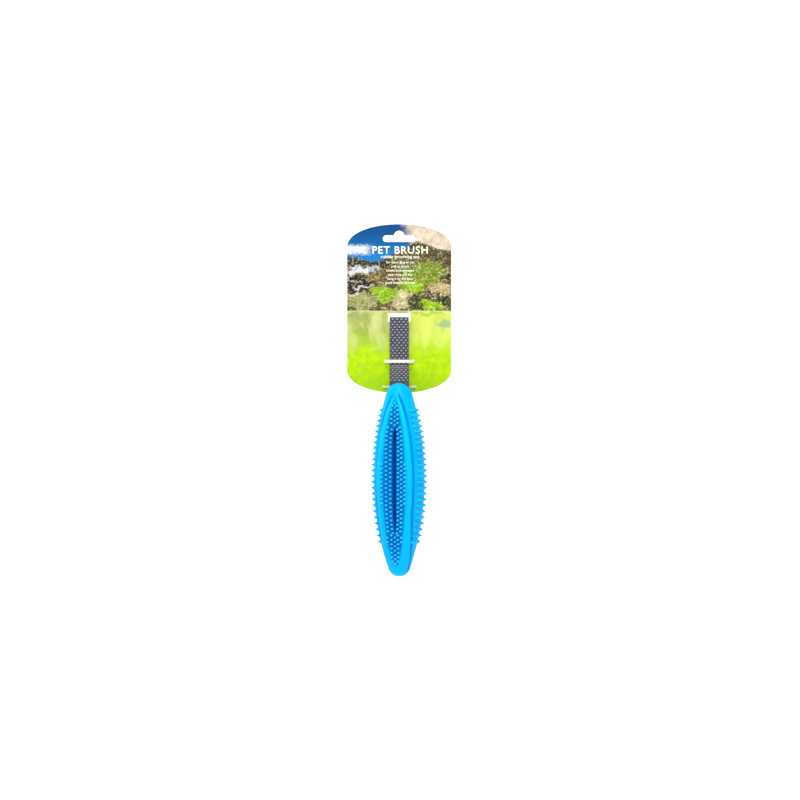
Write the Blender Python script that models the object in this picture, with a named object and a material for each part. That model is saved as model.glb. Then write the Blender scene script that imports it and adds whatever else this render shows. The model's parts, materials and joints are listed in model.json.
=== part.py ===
"""A nubbed rubber brush on a webbing hand loop, held by two ties to a hanging header card.

Metres, +Z up. The card stands in the XZ plane with its mid-plane at y = 0 and its front
towards -Y. The origin is where a shop peg bears in the top of the card's hanging slot.
"""
import math

import bmesh
import bpy
from mathutils import Matrix, Vector

MM = 0.001
GAP = 0.3 * MM

# Header card
CARD_HALF_WIDTH = 52.0 * MM
CARD_TOP = 6.4 * MM
CARD_BOTTOM = -162.2 * MM
CARD_END_RISE = 22.8 * MM
CARD_END_EXPONENT = 2.1
CARD_THICKNESS = 0.6 * MM
SLOT_HALF_WIDTH = 16.5 * MM
SLOT_TOP = -4.6 * MM
SLOT_BOTTOM = -11.3 * MM
SLOT_BUMP_RADIUS = 5.4 * MM
WINDOW_HALF_WIDTH = 11.25 * MM
WINDOW_TOP = -82.3 * MM
WINDOW_BOTTOM = -91.0 * MM
WINDOW_CORNER = 1.2 * MM

# Ties: height on the card, half span between the legs, holes
TIE_HOLE_RADIUS = 2.15 * MM
TIE_HOLE_OFFSET = 0.6 * MM
TIE_WIDTH = 3.0 * MM
TIE_THICKNESS = 1.0 * MM
UPPER_TIE_Z = -130.5 * MM
UPPER_TIE_HALF_SPAN = 14.4 * MM
LOWER_TIE_Z = -156.0 * MM
LOWER_TIE_HALF_SPAN = 16.2 * MM
TIE_HEAD = Vector((4.6, 4.2, 4.6)) * MM
TIE_HEAD_CLEARANCE = 0.5 * MM
TIE_SHOULDER = 0.6 * MM
TIE_CORNER = 0.8 * MM

# Webbing
PLY = 1.5 * MM
WEBBING_HALF_WIDTH = 9.5 * MM
CARD_FACE = -CARD_THICKNESS / 2 - GAP
FOLD_Z = -89.9 * MM
FOLD_INNER_RADIUS = CARD_THICKNESS / 2 + GAP
FOLD_OUTER_RADIUS = FOLD_INNER_RADIUS + 2 * PLY
FOLD_BACK_END = -91.3 * MM
LIFT_TOP = -133.0 * MM
FORK_Z = -138.5 * MM
NECK_TOP = -146.0 * MM
FREE_END_Z = -159.0 * MM
FREE_END_FLAT_Z = -149.0 * MM

# Joint between the webbing and the brush, at the mouth of the brush's pocket
SWING_POINT = Vector((0, -15.0, -151.5)) * MM
SWING_CLEARANCE = 0.8 * MM
BRUSH_TWIST = math.radians(-16)

# Hand loop behind the card
LOOP_HINGE = Vector((0, 2.1, -93.1)) * MM
LOOP_LEAN = math.radians(2.3)
LOOP_LENGTH = 56.0 * MM
LOOP_SPLIT = 27.0 * MM
LOOP_BULGE = 6.0 * MM

# Rubber brush: a spindle turned about its own axis, its ends rounded
BRUSH_HALF_LENGTH = 96.6 * MM
BRUSH_RADIUS = 25.4 * MM
UPPER_ARC = 303 * MM
LOWER_ARC = 279 * MM
BRUSH_TOP_DROP = 0.3 * MM
RINGS_PER_HALF = 11
TIP_FLAT = 0.1 * MM

# Front and back panels of the brush
PANEL_TOP = 88.0 * MM
TROUGH_TOP = 83.0 * MM
TROUGH_BOTTOM = -88.0 * MM
TROUGH_DEPTH = 9.4 * MM
TROUGH_HALF_WIDTH = 14.5 * MM
TROUGH_END_HALF_WIDTH = 0.6 * MM
GROOVE_HALF_WIDTH = 1.2 * MM
GROOVE_DEPTH = 1.5 * MM
GROOVE_LARGEST_LIP = math.radians(9)
GROOVE_ANGLE = math.radians(46)
GROOVE_SPREAD = math.radians(30)
GROOVE_SPREAD_START = -35.0 * MM
RIM_HEIGHT = 0.5 * MM

# Deep slot in the floor of each trough
WELL_CENTRE = -0.9 * MM
WELL_HALF_LENGTH = 53.0 * MM
WELL_HALF_WIDTH = 2.8 * MM
WELL_FLOOR_RADIUS = 4.5 * MM
FLOOR_MARGIN = 0.35 * MM

# Pegs in the troughs and spikes on the flanks
PEG_PITCH = 4.3 * MM
PEG_COLUMN = 3.9 * MM
PEG_RADIUS = 1.15 * MM
PEG_TIP_RADIUS = 0.9 * MM
PEG_HEIGHT = 3.0 * MM
PEG_WELL_MARGIN = 0.9 * MM
PEG_RIM_MARGIN = 1.2 * MM
PEG_BOTTOM = -83.0 * MM
PEG_TOP = 80.0 * MM
SPIKE_PITCH = 5.25 * MM
SPIKE_PITCH_GROWTH = 0.0196 * MM
SPIKE_ROWS = 24
SPIKE_COLUMN = 5.3 * MM
SPIKE_RADIUS = 1.8 * MM
SPIKE_TIP_RADIUS = 0.25 * MM
SPIKE_HEIGHT = 3.1 * MM
CONE_SIDES = 3
CONE_SPIN = 0.37
SPIKE_TOP = 69.4 * MM
ROOT_DEPTH = 0.6 * MM

# Pocket and pin that hold the webbing in the top of the brush
POCKET_HALF_WIDTH = 10.25 * MM
POCKET_HALF_GAP = 1.85 * MM
PIN_DEPTH = 20.0 * MM
PIN_RADIUS = 1.5 * MM
PIN_HALF_LENGTH = 9.9 * MM
ANCHOR_BULB_RADIUS = PIN_RADIUS + GAP + PLY
POCKET_MARGIN = 0.35 * MM
POCKET_BULB_RADIUS = ANCHOR_BULB_RADIUS + POCKET_MARGIN

# Stitching that closes the hand loop
TACK_TOP = -134.4 * MM
TACK_BOTTOM = -137.6 * MM
TACK_HALF_WIDTH = 7.6 * MM
TACK_STROKES = 14
THREAD_RADIUS = 0.25 * MM

SIDE_VIEW = (math.radians(90), 0, math.radians(90))
FRONT_VIEW = (math.radians(90), 0, 0)


def clear_scene():
    for old_object in list(bpy.data.objects):
        bpy.data.objects.remove(old_object, do_unlink=True)


def make_collection(name):
    collection = bpy.data.collections.new(name)
    bpy.context.scene.collection.children.link(collection)
    return collection


clear_scene()
PARTS = make_collection("rubber_curry_brush")
CUTTERS = make_collection("cutters")


def make_material(name, colour, roughness):
    material = bpy.data.materials.new(name)
    material.use_nodes = True
    shader = material.node_tree.nodes["Principled BSDF"]
    shader.inputs["Base Color"].default_value = (*colour, 1)
    shader.inputs["Roughness"].default_value = roughness
    shader.inputs["Metallic"].default_value = 0
    return material


def add_object(name, data, location=(0, 0, 0), rotation=(0, 0, 0), collection=None):
    new_object = bpy.data.objects.new(name, data)
    new_object.location = location
    new_object.rotation_euler = rotation
    (collection or PARTS).objects.link(new_object)
    return new_object


def smoothstep(value):
    value = min(max(value, 0), 1)
    return value * value * (3 - 2 * value)


def arc_points(centre, radius, start, end, steps):
    angles = [math.radians(start + (end - start) * step / steps) for step in range(steps + 1)]
    return [(centre[0] + radius * math.cos(a), centre[1] + radius * math.sin(a)) for a in angles]


def flat_solid(name, outlines, half_depth, location=(0, 0, 0), rotation=(0, 0, 0), collection=None):
    """Extrude closed outlines both ways along local Z; inner outlines are holes."""
    curve = bpy.data.curves.new(name, "CURVE")
    curve.dimensions = "2D"
    curve.fill_mode = "BOTH"
    curve.extrude = half_depth
    for outline in outlines:
        spline = curve.splines.new("POLY")
        spline.points.add(len(outline) - 1)
        for point, (across, along) in zip(spline.points, outline):
            point.co = (across, along, 0, 1)
        spline.use_cyclic_u = True
    return mesh_from_curve(name, curve, location, rotation, collection)


def mesh_from_curve(name, curve, location, rotation, collection=None):
    """Replace a curve by its own welded mesh, so it can be joined or cut."""
    source = add_object(name + "_outline", curve, location, rotation, collection)
    evaluated = source.evaluated_get(bpy.context.evaluated_depsgraph_get())
    mesh = bpy.data.meshes.new_from_object(evaluated)
    mesh.name = name
    result = add_object(name, mesh, location, rotation, collection)
    bpy.data.objects.remove(source, do_unlink=True)
    weld(mesh)
    return result


def weld(mesh):
    work = bmesh.new()
    work.from_mesh(mesh)
    bmesh.ops.remove_doubles(work, verts=work.verts, dist=0.01 * MM)
    bmesh.ops.recalc_face_normals(work, faces=work.faces)
    work.to_mesh(mesh)
    work.free()


def loft(name, sections, location=(0, 0, 0), rotation=(0, 0, 0)):
    """Skin closed sections of equal point count and cap both ends."""
    work = bmesh.new()
    rings = [[work.verts.new(point) for point in section] for section in sections]
    count = len(rings[0])
    for lower, upper in zip(rings, rings[1:]):
        for index in range(count):
            following = (index + 1) % count
            work.faces.new((lower[index], lower[following], upper[following], upper[index]))
    work.faces.new(rings[0])
    work.faces.new(rings[-1])
    bmesh.ops.recalc_face_normals(work, faces=work.faces)
    mesh = bpy.data.meshes.new(name)
    work.to_mesh(mesh)
    work.free()
    return add_object(name, mesh, location, rotation)


def add_boolean(target, other, operation):
    modifier = target.modifiers.new(operation.title() + "_" + other.name, "BOOLEAN")
    modifier.object = other
    modifier.operation = operation
    modifier.solver = "EXACT"


def as_cutter(cutter):
    cutter.hide_render = True
    cutter.display_type = "WIRE"
    return cutter


def finish(part, material, smooth=True):
    part.data.materials.clear()
    part.data.materials.append(material)
    if smooth:
        part.data.shade_smooth()
        part.data.set_sharp_from_angle(angle=math.radians(35))


# Header card

def card_end(centre_z, rise, side, steps=18):
    """Half of a superellipse from one long side of the card to the other."""
    points = []
    for step in range(steps + 1):
        angle = math.pi * step / steps
        across = math.copysign(abs(math.cos(angle)) ** (2 / CARD_END_EXPONENT), math.cos(angle))
        up = math.sin(angle) ** (2 / CARD_END_EXPONENT) if 0 < step < steps else 0
        points.append((side * CARD_HALF_WIDTH * across, centre_z + side * rise * up))
    return points


def card_outline():
    upper = card_end(CARD_TOP - CARD_END_RISE, CARD_END_RISE, 1)
    lower = card_end(CARD_BOTTOM + CARD_END_RISE, CARD_END_RISE, -1)
    return upper + lower


def hanging_slot():
    """A wide slot with round ends and a round bump in its top edge for the peg."""
    end_radius = (SLOT_TOP - SLOT_BOTTOM) / 2
    middle = (SLOT_TOP + SLOT_BOTTOM) / 2
    end_x = SLOT_HALF_WIDTH - end_radius
    bump_centre = -SLOT_BUMP_RADIUS
    dip = math.degrees(math.asin((SLOT_TOP - bump_centre) / SLOT_BUMP_RADIUS))
    right = arc_points((end_x, middle), end_radius, -90, 90, 8)
    bump = arc_points((0, bump_centre), SLOT_BUMP_RADIUS, dip, 180 - dip, 12)
    left = arc_points((-end_x, middle), end_radius, 90, 270, 8)
    return right + bump + left


def strap_window():
    across = WINDOW_HALF_WIDTH - WINDOW_CORNER
    top = WINDOW_TOP - WINDOW_CORNER
    bottom = WINDOW_BOTTOM + WINDOW_CORNER
    corners = [(across, top, 0), (-across, top, 90), (-across, bottom, 180), (across, bottom, 270)]
    points = []
    for x, z, start in corners:
        points += arc_points((x, z), WINDOW_CORNER, start, start + 90, 3)
    return points


def tie_holes():
    holes = []
    for height, half_span in ((UPPER_TIE_Z, UPPER_TIE_HALF_SPAN), (LOWER_TIE_Z, LOWER_TIE_HALF_SPAN)):
        for side in (-1, 1):
            centre = (side * (half_span + TIE_HOLE_OFFSET), height)
            holes.append(arc_points(centre, TIE_HOLE_RADIUS, 0, 337.5, 15))
    return holes


def make_card():
    outlines = [card_outline(), hanging_slot(), strap_window()] + tie_holes()
    return flat_solid("header_card", outlines, CARD_THICKNESS / 2, rotation=FRONT_VIEW)


# Ties

def offset_path(path, distance):
    """Offset a closed path to its left, mitring each corner."""
    count = len(path)
    result = []
    for index in range(count):
        before = Vector(path[index - 1])
        here = Vector(path[index])
        after = Vector(path[(index + 1) % count])
        first = (here - before).normalized()
        second = (after - here).normalized()
        normal = Vector((-first.y - second.y, first.x + second.x)).normalized()
        stretch = 1 / max(normal.dot(Vector((-first.y, first.x))), 0.5)
        result.append(tuple(here + normal * distance * stretch))
    return result


def rounded_path(corners, radius, steps=3):
    """Round each corner of a closed path with a short curve."""
    points = []
    count = len(corners)
    for index in range(count):
        here = Vector(corners[index])
        before = Vector(corners[index - 1])
        after = Vector(corners[(index + 1) % count])
        entry = here + (before - here).normalized() * radius
        exit_point = here + (after - here).normalized() * radius
        for step in range(steps + 1):
            blend = step / steps
            point = entry.lerp(here, blend).lerp(here.lerp(exit_point, blend), blend)
            points.append(tuple(point))
    return points


def make_tie(name, height, half_span, webbing_front):
    """A band over the webbing, through two holes and closed behind the card by a head."""
    front_y = webbing_front - GAP - TIE_THICKNESS / 2
    back_y = CARD_THICKNESS / 2 + GAP + TIE_THICKNESS / 2
    shoulder = WEBBING_HALF_WIDTH + TIE_SHOULDER
    knee_y = CARD_FACE - TIE_THICKNESS
    corners = [
        (-shoulder, front_y),
        (shoulder, front_y),
        (half_span, max(knee_y, front_y)),
        (half_span, back_y),
        (-half_span, back_y),
        (-half_span, max(knee_y, front_y)),
    ]
    path = rounded_path(corners, TIE_CORNER)
    outlines = [offset_path(path, -TIE_THICKNESS / 2), offset_path(path, TIE_THICKNESS / 2)]
    band = flat_solid(name, outlines, TIE_WIDTH / 2, location=(0, 0, height))
    bpy.ops.mesh.primitive_cube_add(size=1)
    head = bpy.context.object
    head.name = name + "_head"
    head.data.transform(Matrix.Diagonal((*TIE_HEAD, 1)))
    head_x = WEBBING_HALF_WIDTH + TIE_HEAD_CLEARANCE + TIE_HEAD.x / 2
    head.location = (head_x, CARD_THICKNESS / 2 + GAP + TIE_HEAD.y / 2, height)
    move_to_cutters(head)
    add_boolean(band, as_cutter(head), "UNION")
    return band


def move_to_cutters(helper):
    for collection in list(helper.users_collection):
        collection.objects.unlink(helper)
    CUTTERS.objects.link(helper)


# Webbing

def lift_y(z, centre):
    """Depth of the upper ply as it leaves the card and rises to the brush."""
    progress = (LIFT_TOP - z) / (LIFT_TOP - SWING_POINT.z)
    return centre + (SWING_POINT.y - centre) * smoothstep(progress)


def upper_ply_centre(z):
    return lift_y(z, CARD_FACE - 1.5 * PLY)


def ply_spread(z):
    """Horizontal half thickness of the sloping ply."""
    step = 0.1 * MM
    slope = (upper_ply_centre(z + step) - upper_ply_centre(z - step)) / (2 * step)
    return PLY / 2 * math.hypot(1, slope)


def spaced(start, end, count):
    return [start + (end - start) * index / count for index in range(count + 1)]


def run_outline():
    """Side outline (depth, height): both plies on the card, the fold, the fork and the free end."""
    front = [(upper_ply_centre(z) - ply_spread(z), z) for z in spaced(NECK_TOP, LIFT_TOP, 12)]
    fold = arc_points((0, FOLD_Z), FOLD_OUTER_RADIUS, 180, 0, 12)
    inner_fold = arc_points((0, FOLD_Z), FOLD_INNER_RADIUS, 0, 180, 8)
    back_end = [(FOLD_OUTER_RADIUS, FOLD_BACK_END), (FOLD_INNER_RADIUS, FOLD_BACK_END)]
    fork_y = upper_ply_centre(FORK_Z) + ply_spread(FORK_Z)
    lift = fork_y + PLY - CARD_FACE
    peel = spaced(FORK_Z, FREE_END_FLAT_Z, 6)

    def settle(z):
        return 1 - smoothstep((FORK_Z - z) / (FORK_Z - FREE_END_FLAT_Z))

    lower_back = [(lift_y(z, CARD_FACE), z) for z in spaced(LIFT_TOP, FORK_Z, 4)[:-1]]
    lower_back += [(CARD_FACE + lift * settle(z), z) for z in peel]
    lower_front = [(CARD_FACE - PLY + lift * settle(z), z) for z in reversed(peel)]
    free_end = [(CARD_FACE, FREE_END_Z), (CARD_FACE - PLY, FREE_END_Z)]
    upper_back = [(upper_ply_centre(z) + ply_spread(z), z) for z in spaced(FORK_Z, NECK_TOP, 6)[1:]]
    return front + fold + back_end + inner_fold + lower_back + free_end + lower_front + upper_back


def make_run():
    return flat_solid("webbing_run", [run_outline()], WEBBING_HALF_WIDTH, rotation=SIDE_VIEW)


def make_neck():
    """The last of the free webbing, twisting from the card's plane to the brush's."""
    top = NECK_TOP - GAP
    bottom = SWING_POINT.z + SWING_CLEARANCE
    sections = []
    for z in spaced(bottom, top, 6):
        angle = BRUSH_TWIST * (1 - smoothstep((z - bottom) / (top - bottom)))
        centre = Vector((0, upper_ply_centre(z) - SWING_POINT.y, z - SWING_POINT.z))
        half = ply_spread(z)
        across = Vector((math.cos(angle), math.sin(angle), 0)) * WEBBING_HALF_WIDTH
        through = Vector((-math.sin(angle), math.cos(angle), 0)) * half
        sections.append([centre - across - through, centre + across - through,
                         centre + across + through, centre - across + through])
    return loft("webbing_neck", sections, SWING_POINT)


def keyhole_outline(half_gap, bulb_radius, top):
    """A straight neck of two plies that ends in a round eye about the pin."""
    meet = math.degrees(math.asin(half_gap / bulb_radius))
    bulb = arc_points((0, -PIN_DEPTH), bulb_radius, 90 + meet, 450 - meet, 20)
    return [(half_gap, top), (-half_gap, top)] + bulb


def make_anchor():
    outline = keyhole_outline(PLY, ANCHOR_BULB_RADIUS, -SWING_CLEARANCE)
    eye = arc_points((0, -PIN_DEPTH), PIN_RADIUS + GAP, 0, 337.5, 15)
    anchor = flat_solid("webbing_anchor", [outline, eye], WEBBING_HALF_WIDTH, rotation=SIDE_VIEW)
    return anchor


def make_pin():
    bpy.ops.mesh.primitive_cylinder_add(vertices=16, radius=PIN_RADIUS, depth=2 * PIN_HALF_LENGTH)
    pin = bpy.context.object
    pin.name = "anchor_pin"
    pin.data.transform(Matrix.Rotation(math.radians(90), 4, "Y"))
    pin.data.transform(Matrix.Translation((0, 0, -PIN_DEPTH)))
    for collection in list(pin.users_collection):
        collection.objects.unlink(pin)
    PARTS.objects.link(pin)
    return pin


def make_loop_tail():
    """The hand loop's end behind the card: two plies that part into an open teardrop."""

    def bulge(distance):
        along = (distance - LOOP_SPLIT) / (LOOP_LENGTH - LOOP_SPLIT)
        return LOOP_BULGE * smoothstep(along * 1.5)

    end_radius = PLY + LOOP_BULGE / 2
    end_centre = (end_radius - PLY, -LOOP_LENGTH + end_radius)
    straight_end = LOOP_LENGTH - end_radius
    outer = arc_points((0, 0), PLY, 0, 180, 8)
    outer += [(-PLY, -LOOP_SPLIT)]
    outer += arc_points(end_centre, end_radius, 180, 360, 12)
    outer += [(PLY + bulge(d), -d) for d in spaced(straight_end, LOOP_SPLIT, 8)[1:]]
    hole = arc_points(end_centre, end_radius - PLY, 180, 360, 12)
    hole += [(bulge(d), -d) for d in spaced(straight_end, LOOP_SPLIT + 4 * MM, 6)[1:]]
    tail = flat_solid("hand_loop_end", [outer, hole], WEBBING_HALF_WIDTH)
    tail.data.transform(Matrix.Rotation(SIDE_VIEW[2], 4, "Z") @ Matrix.Rotation(SIDE_VIEW[0], 4, "X"))
    tail.location = LOOP_HINGE
    tail.rotation_euler = (LOOP_LEAN, 0, 0)
    return tail


def make_tack():
    """One zigzag of thread across the two plies, just under the upper tie."""
    curve = bpy.data.curves.new("bar_tack", "CURVE")
    curve.dimensions = "3D"
    curve.bevel_depth = THREAD_RADIUS
    curve.bevel_resolution = 1
    curve.use_fill_caps = True
    spline = curve.splines.new("POLY")
    spline.points.add(TACK_STROKES)
    for index, point in enumerate(spline.points):
        x = -TACK_HALF_WIDTH + 2 * TACK_HALF_WIDTH * index / TACK_STROKES
        z = TACK_TOP if index % 2 == 0 else TACK_BOTTOM
        y = upper_ply_centre(z) - ply_spread(z) - GAP - THREAD_RADIUS
        point.co = (x, y, z, 1)
    return mesh_from_curve("bar_tack", curve, (0, 0, 0), (0, 0, 0))


# Rubber brush, in its own frame: origin at the swing point, front towards -Y, axis along Z

BRUSH_CENTRE = -BRUSH_TOP_DROP - BRUSH_HALF_LENGTH


def tip_radius(arc):
    """Radius of the ball that closes a spindle end tangent to its long arc."""
    offset = arc - BRUSH_RADIUS
    numerator = arc ** 2 - offset ** 2 - BRUSH_HALF_LENGTH ** 2
    return numerator / (2 * (arc - BRUSH_HALF_LENGTH))


def body_radius(z):
    arc = UPPER_ARC if z >= 0 else LOWER_ARC
    ball = tip_radius(arc)
    ball_centre = BRUSH_HALF_LENGTH - ball
    tangent = ball_centre * arc / (arc - ball)
    height = min(abs(z), BRUSH_HALF_LENGTH)
    if height < tangent:
        return BRUSH_RADIUS - arc + math.sqrt(arc ** 2 - height ** 2)
    return math.sqrt(max(ball ** 2 - (height - ball_centre) ** 2, 0))


def trough_fade(z):
    """0 at the two ends of a trough, 1 along its middle."""
    end = TROUGH_TOP if z >= 0 else TROUGH_BOTTOM
    return max(1 - (z / end) ** 2, 0)


def trough_width(z):
    """Half width of the pegged trough, measured around the body."""
    end = TROUGH_TOP if z >= 0 else TROUGH_BOTTOM
    power = 1.0 if z >= 0 else 0.62
    return max(TROUGH_HALF_WIDTH * max(1 - abs(z / end) ** 1.9, 0) ** power, TROUGH_END_HALF_WIDTH)


def groove_angle(z):
    """Angle from the panel's middle to the groove that bounds it."""
    if z >= 0:
        closeness = max((PANEL_TOP - z) / PANEL_TOP, 0)
        return GROOVE_ANGLE * math.tanh(2.6 * closeness ** 0.75) / math.tanh(2.6)
    spread = max((GROOVE_SPREAD_START - z) / (BRUSH_HALF_LENGTH + GROOVE_SPREAD_START), 0)
    return GROOVE_ANGLE + GROOVE_SPREAD * min(spread, 1) ** 1.6


def groove_fade(z):
    return smoothstep((PANEL_TOP - z) / (6 * MM)) * smoothstep((z + 94 * MM) / (5 * MM))


def well_half_width(z):
    along = abs(z - WELL_CENTRE) / WELL_HALF_LENGTH
    power = 7.0 if z > WELL_CENTRE else 2.4
    return WELL_HALF_WIDTH * math.sqrt(max(1 - along ** power, 0))


def floor_point(z):
    """Half width of the trough's floor and its distance from the axis."""
    half = well_half_width(z) + FLOOR_MARGIN
    half = min(half, 0.6 * trough_width(z))
    return half, body_radius(z) - TROUGH_DEPTH * trough_fade(z) ** 0.8


def quadrant(z):
    """Section points (sideways, forward) from the panel's middle round to the flank."""
    radius = body_radius(z)
    half_floor, floor_radius = floor_point(z)
    edge = trough_width(z) / radius
    lip = min(GROOVE_HALF_WIDTH / radius, GROOVE_LARGEST_LIP)
    groove = min(max(groove_angle(z), edge + 2.4 * lip), math.pi / 2 - 2 * lip)
    rim = groove - lip - edge
    lift = RIM_HEIGHT * min(trough_fade(z) * 4, 1)
    polar = [
        (edge, -0.3 * lift),
        (edge + 0.25 * rim, lift),
        (edge + 0.7 * rim, lift),
        (groove - lip, 0),
        (groove, -GROOVE_DEPTH * groove_fade(z)),
        (groove + lip, 0),
    ]
    last = groove + lip
    polar += [(last + (math.pi / 2 - last) * part, 0) for part in (0.33, 0.67, 1)]
    points = [(0, floor_radius), (half_floor, floor_radius)]
    points += [((radius + rise) * math.sin(a), (radius + rise) * math.cos(a)) for a, rise in polar]
    return points


def body_section(z):
    one = quadrant(z)
    half = one + [(x, -y) for x, y in reversed(one[:-1])]
    ring = half + [(-x, y) for x, y in reversed(half[1:-1])]
    return [(x, -forward, z + BRUSH_CENTRE) for x, forward in ring]


def make_brush_body():
    last = BRUSH_HALF_LENGTH - TIP_FLAT
    heights = [-last]
    for index in range(1, 2 * RINGS_PER_HALF):
        angle = math.pi / 2 * (index / RINGS_PER_HALF - 1)
        heights.append(BRUSH_HALF_LENGTH * math.sin(angle))
    return loft("rubber_brush", [body_section(z) for z in heights + [last]])


def wall_point(z, distance):
    """Point and outward normal on a trough wall, a given distance out from its floor's middle."""
    half_floor, floor_radius = floor_point(z)
    edge = trough_width(z) / body_radius(z)
    foot = Vector((half_floor, floor_radius))
    top = Vector((math.sin(edge), math.cos(edge))) * body_radius(z)
    wall = top - foot
    along = (distance - half_floor) / max(wall.x, 0.1 * MM)
    if distance <= half_floor:
        return Vector((distance, floor_radius)), Vector((0, 1))
    return foot + wall * along, Vector((-wall.y, wall.x)).normalized()


def peg_places():
    """Staggered pegs (distance from the floor's middle, height), clear of the well and the rim."""
    places = []
    row = 0
    z = PEG_BOTTOM
    while z < PEG_TOP:
        reach = trough_width(z) - PEG_RIM_MARGIN
        inner = max(well_half_width(z + nearby) for nearby in (-PEG_RADIUS, 0, PEG_RADIUS))
        first = inner + PEG_RADIUS + PEG_WELL_MARGIN if inner > 0 else 0
        spacing = PEG_COLUMN if inner > 0 else min(PEG_COLUMN, reach)
        column = row % 2
        while first + column * spacing <= reach:
            distance = first + column * spacing
            if distance == 0 or distance > PEG_RADIUS + GAP:
                places.append((distance, z))
            column += 2
        row += 1
        z += PEG_PITCH / 2
    return places


def spike_places():
    """Rows of spikes (distance around the body from the flank's middle, height)."""
    places = []
    for row in range(SPIKE_ROWS):
        z = SPIKE_TOP - row * (SPIKE_PITCH + row * SPIKE_PITCH_GROWTH)
        places += [(column * SPIKE_COLUMN, z) for column in (-2, -1, 0, 1, 2)]
    return places


def add_cone(work, base, direction, radius, tip, height):
    """One tapered peg, its foot sunk below the surface."""
    turn = direction.to_track_quat("Z", "Y").to_matrix().to_4x4()
    spin = Matrix.Rotation(CONE_SPIN, 4, "Z")
    middle = base + direction * (height - ROOT_DEPTH) / 2
    bmesh.ops.create_cone(work, cap_ends=True, segments=CONE_SIDES, radius1=radius, radius2=tip,
                          depth=height + ROOT_DEPTH, matrix=Matrix.Translation(middle) @ turn @ spin)


def peg_lean(normal, distance):
    """Sideways part of a peg's direction: along the wall's normal, but short of the middle plane."""
    return min(-normal.x, max(distance - PEG_RADIUS, 0) / PEG_HEIGHT)


def make_pegs():
    work = bmesh.new()
    for distance, z in peg_places():
        sides = (1,) if distance == 0 else (-1, 1)
        point, normal = wall_point(z, distance)
        lean = peg_lean(normal, distance)
        forward = math.sqrt(1 - lean ** 2)
        for side in sides:
            for face in (-1, 1):
                base = Vector((side * point.x, face * point.y, z + BRUSH_CENTRE))
                direction = Vector((-side * lean, face * forward, 0))
                add_cone(work, base, direction, PEG_RADIUS, PEG_TIP_RADIUS, PEG_HEIGHT)
    return helper_from(work, "pegs")


def make_spikes():
    work = bmesh.new()
    for around, z in spike_places():
        radius = body_radius(z)
        for side in (-1, 1):
            direction = Vector((side * math.cos(around / radius), math.sin(around / radius), 0))
            base = direction * radius + Vector((0, 0, z + BRUSH_CENTRE))
            add_cone(work, base, direction, SPIKE_RADIUS, SPIKE_TIP_RADIUS, SPIKE_HEIGHT)
    return helper_from(work, "spikes")


def helper_from(work, name):
    mesh = bpy.data.meshes.new(name)
    work.to_mesh(mesh)
    work.free()
    return as_cutter(add_object(name, mesh, collection=CUTTERS))


def make_well():
    """Cutter for the deep slots; one lens from front to back, parted by a web."""
    heights = spaced(WELL_CENTRE - WELL_HALF_LENGTH, WELL_CENTRE + WELL_HALF_LENGTH, 16)
    right = [(max(well_half_width(z), 0.15 * MM), z + BRUSH_CENTRE) for z in heights]
    outline = right + [(-x, z) for x, z in reversed(right)]
    depth = BRUSH_RADIUS + 5 * MM - WELL_FLOOR_RADIUS
    wells = []
    for side, name in ((-1, "front_well"), (1, "back_well")):
        middle = side * (WELL_FLOOR_RADIUS + depth / 2)
        well = flat_solid(name, [outline], depth / 2, (0, middle, 0), FRONT_VIEW, CUTTERS)
        wells.append(as_cutter(well))
    return wells


def make_brush():
    brush = make_brush_body()
    for well in make_well():
        well.parent = BRUSH_JOINT
        add_boolean(brush, well, "DIFFERENCE")
    pocket = flat_solid("pocket", [keyhole_outline(POCKET_HALF_GAP, POCKET_BULB_RADIUS, 3 * MM)],
                        POCKET_HALF_WIDTH, rotation=SIDE_VIEW, collection=CUTTERS)
    pocket.parent = BRUSH_JOINT
    add_boolean(brush, as_cutter(pocket), "DIFFERENCE")
    for helper in (make_pegs(), make_spikes()):
        helper.parent = BRUSH_JOINT
        add_boolean(brush, helper, "UNION")
    return brush


BRUSH_JOINT = add_object("brush_joint", None, SWING_POINT, (0, 0, BRUSH_TWIST))

rubber = make_material("blue_rubber", (0.0, 0.42, 0.95), 0.42)
board = make_material("printed_card", (0.42, 0.62, 0.05), 0.45)
webbing = make_material("grey_webbing", (0.10, 0.10, 0.11), 0.85)
nylon = make_material("white_nylon", (0.86, 0.87, 0.84), 0.4)
thread = make_material("grey_thread", (0.16, 0.16, 0.17), 0.8)
pin_plastic = make_material("natural_plastic", (0.75, 0.74, 0.70), 0.5)

finish(make_card(), board, smooth=False)
finish(make_tie("upper_tie", UPPER_TIE_Z, UPPER_TIE_HALF_SPAN, CARD_FACE - 2 * PLY), nylon)
finish(make_tie("lower_tie", LOWER_TIE_Z, LOWER_TIE_HALF_SPAN, CARD_FACE - PLY), nylon)
finish(make_run(), webbing)
finish(make_neck(), webbing)
finish(make_loop_tail(), webbing)
finish(make_tack(), thread)
for held, material in ((make_brush(), rubber), (make_anchor(), webbing), (make_pin(), pin_plastic)):
    held.parent = BRUSH_JOINT
    finish(held, material)
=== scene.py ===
"""Looks of a nubbed rubber brush on a webbing hand loop, tied to a printed header card.

Metres, +Z up, the card in the XZ plane with its front towards -Y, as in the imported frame.
"""
import json
import math

import bmesh
import bpy
import numpy as np
from mathutils import Matrix, Vector


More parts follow.
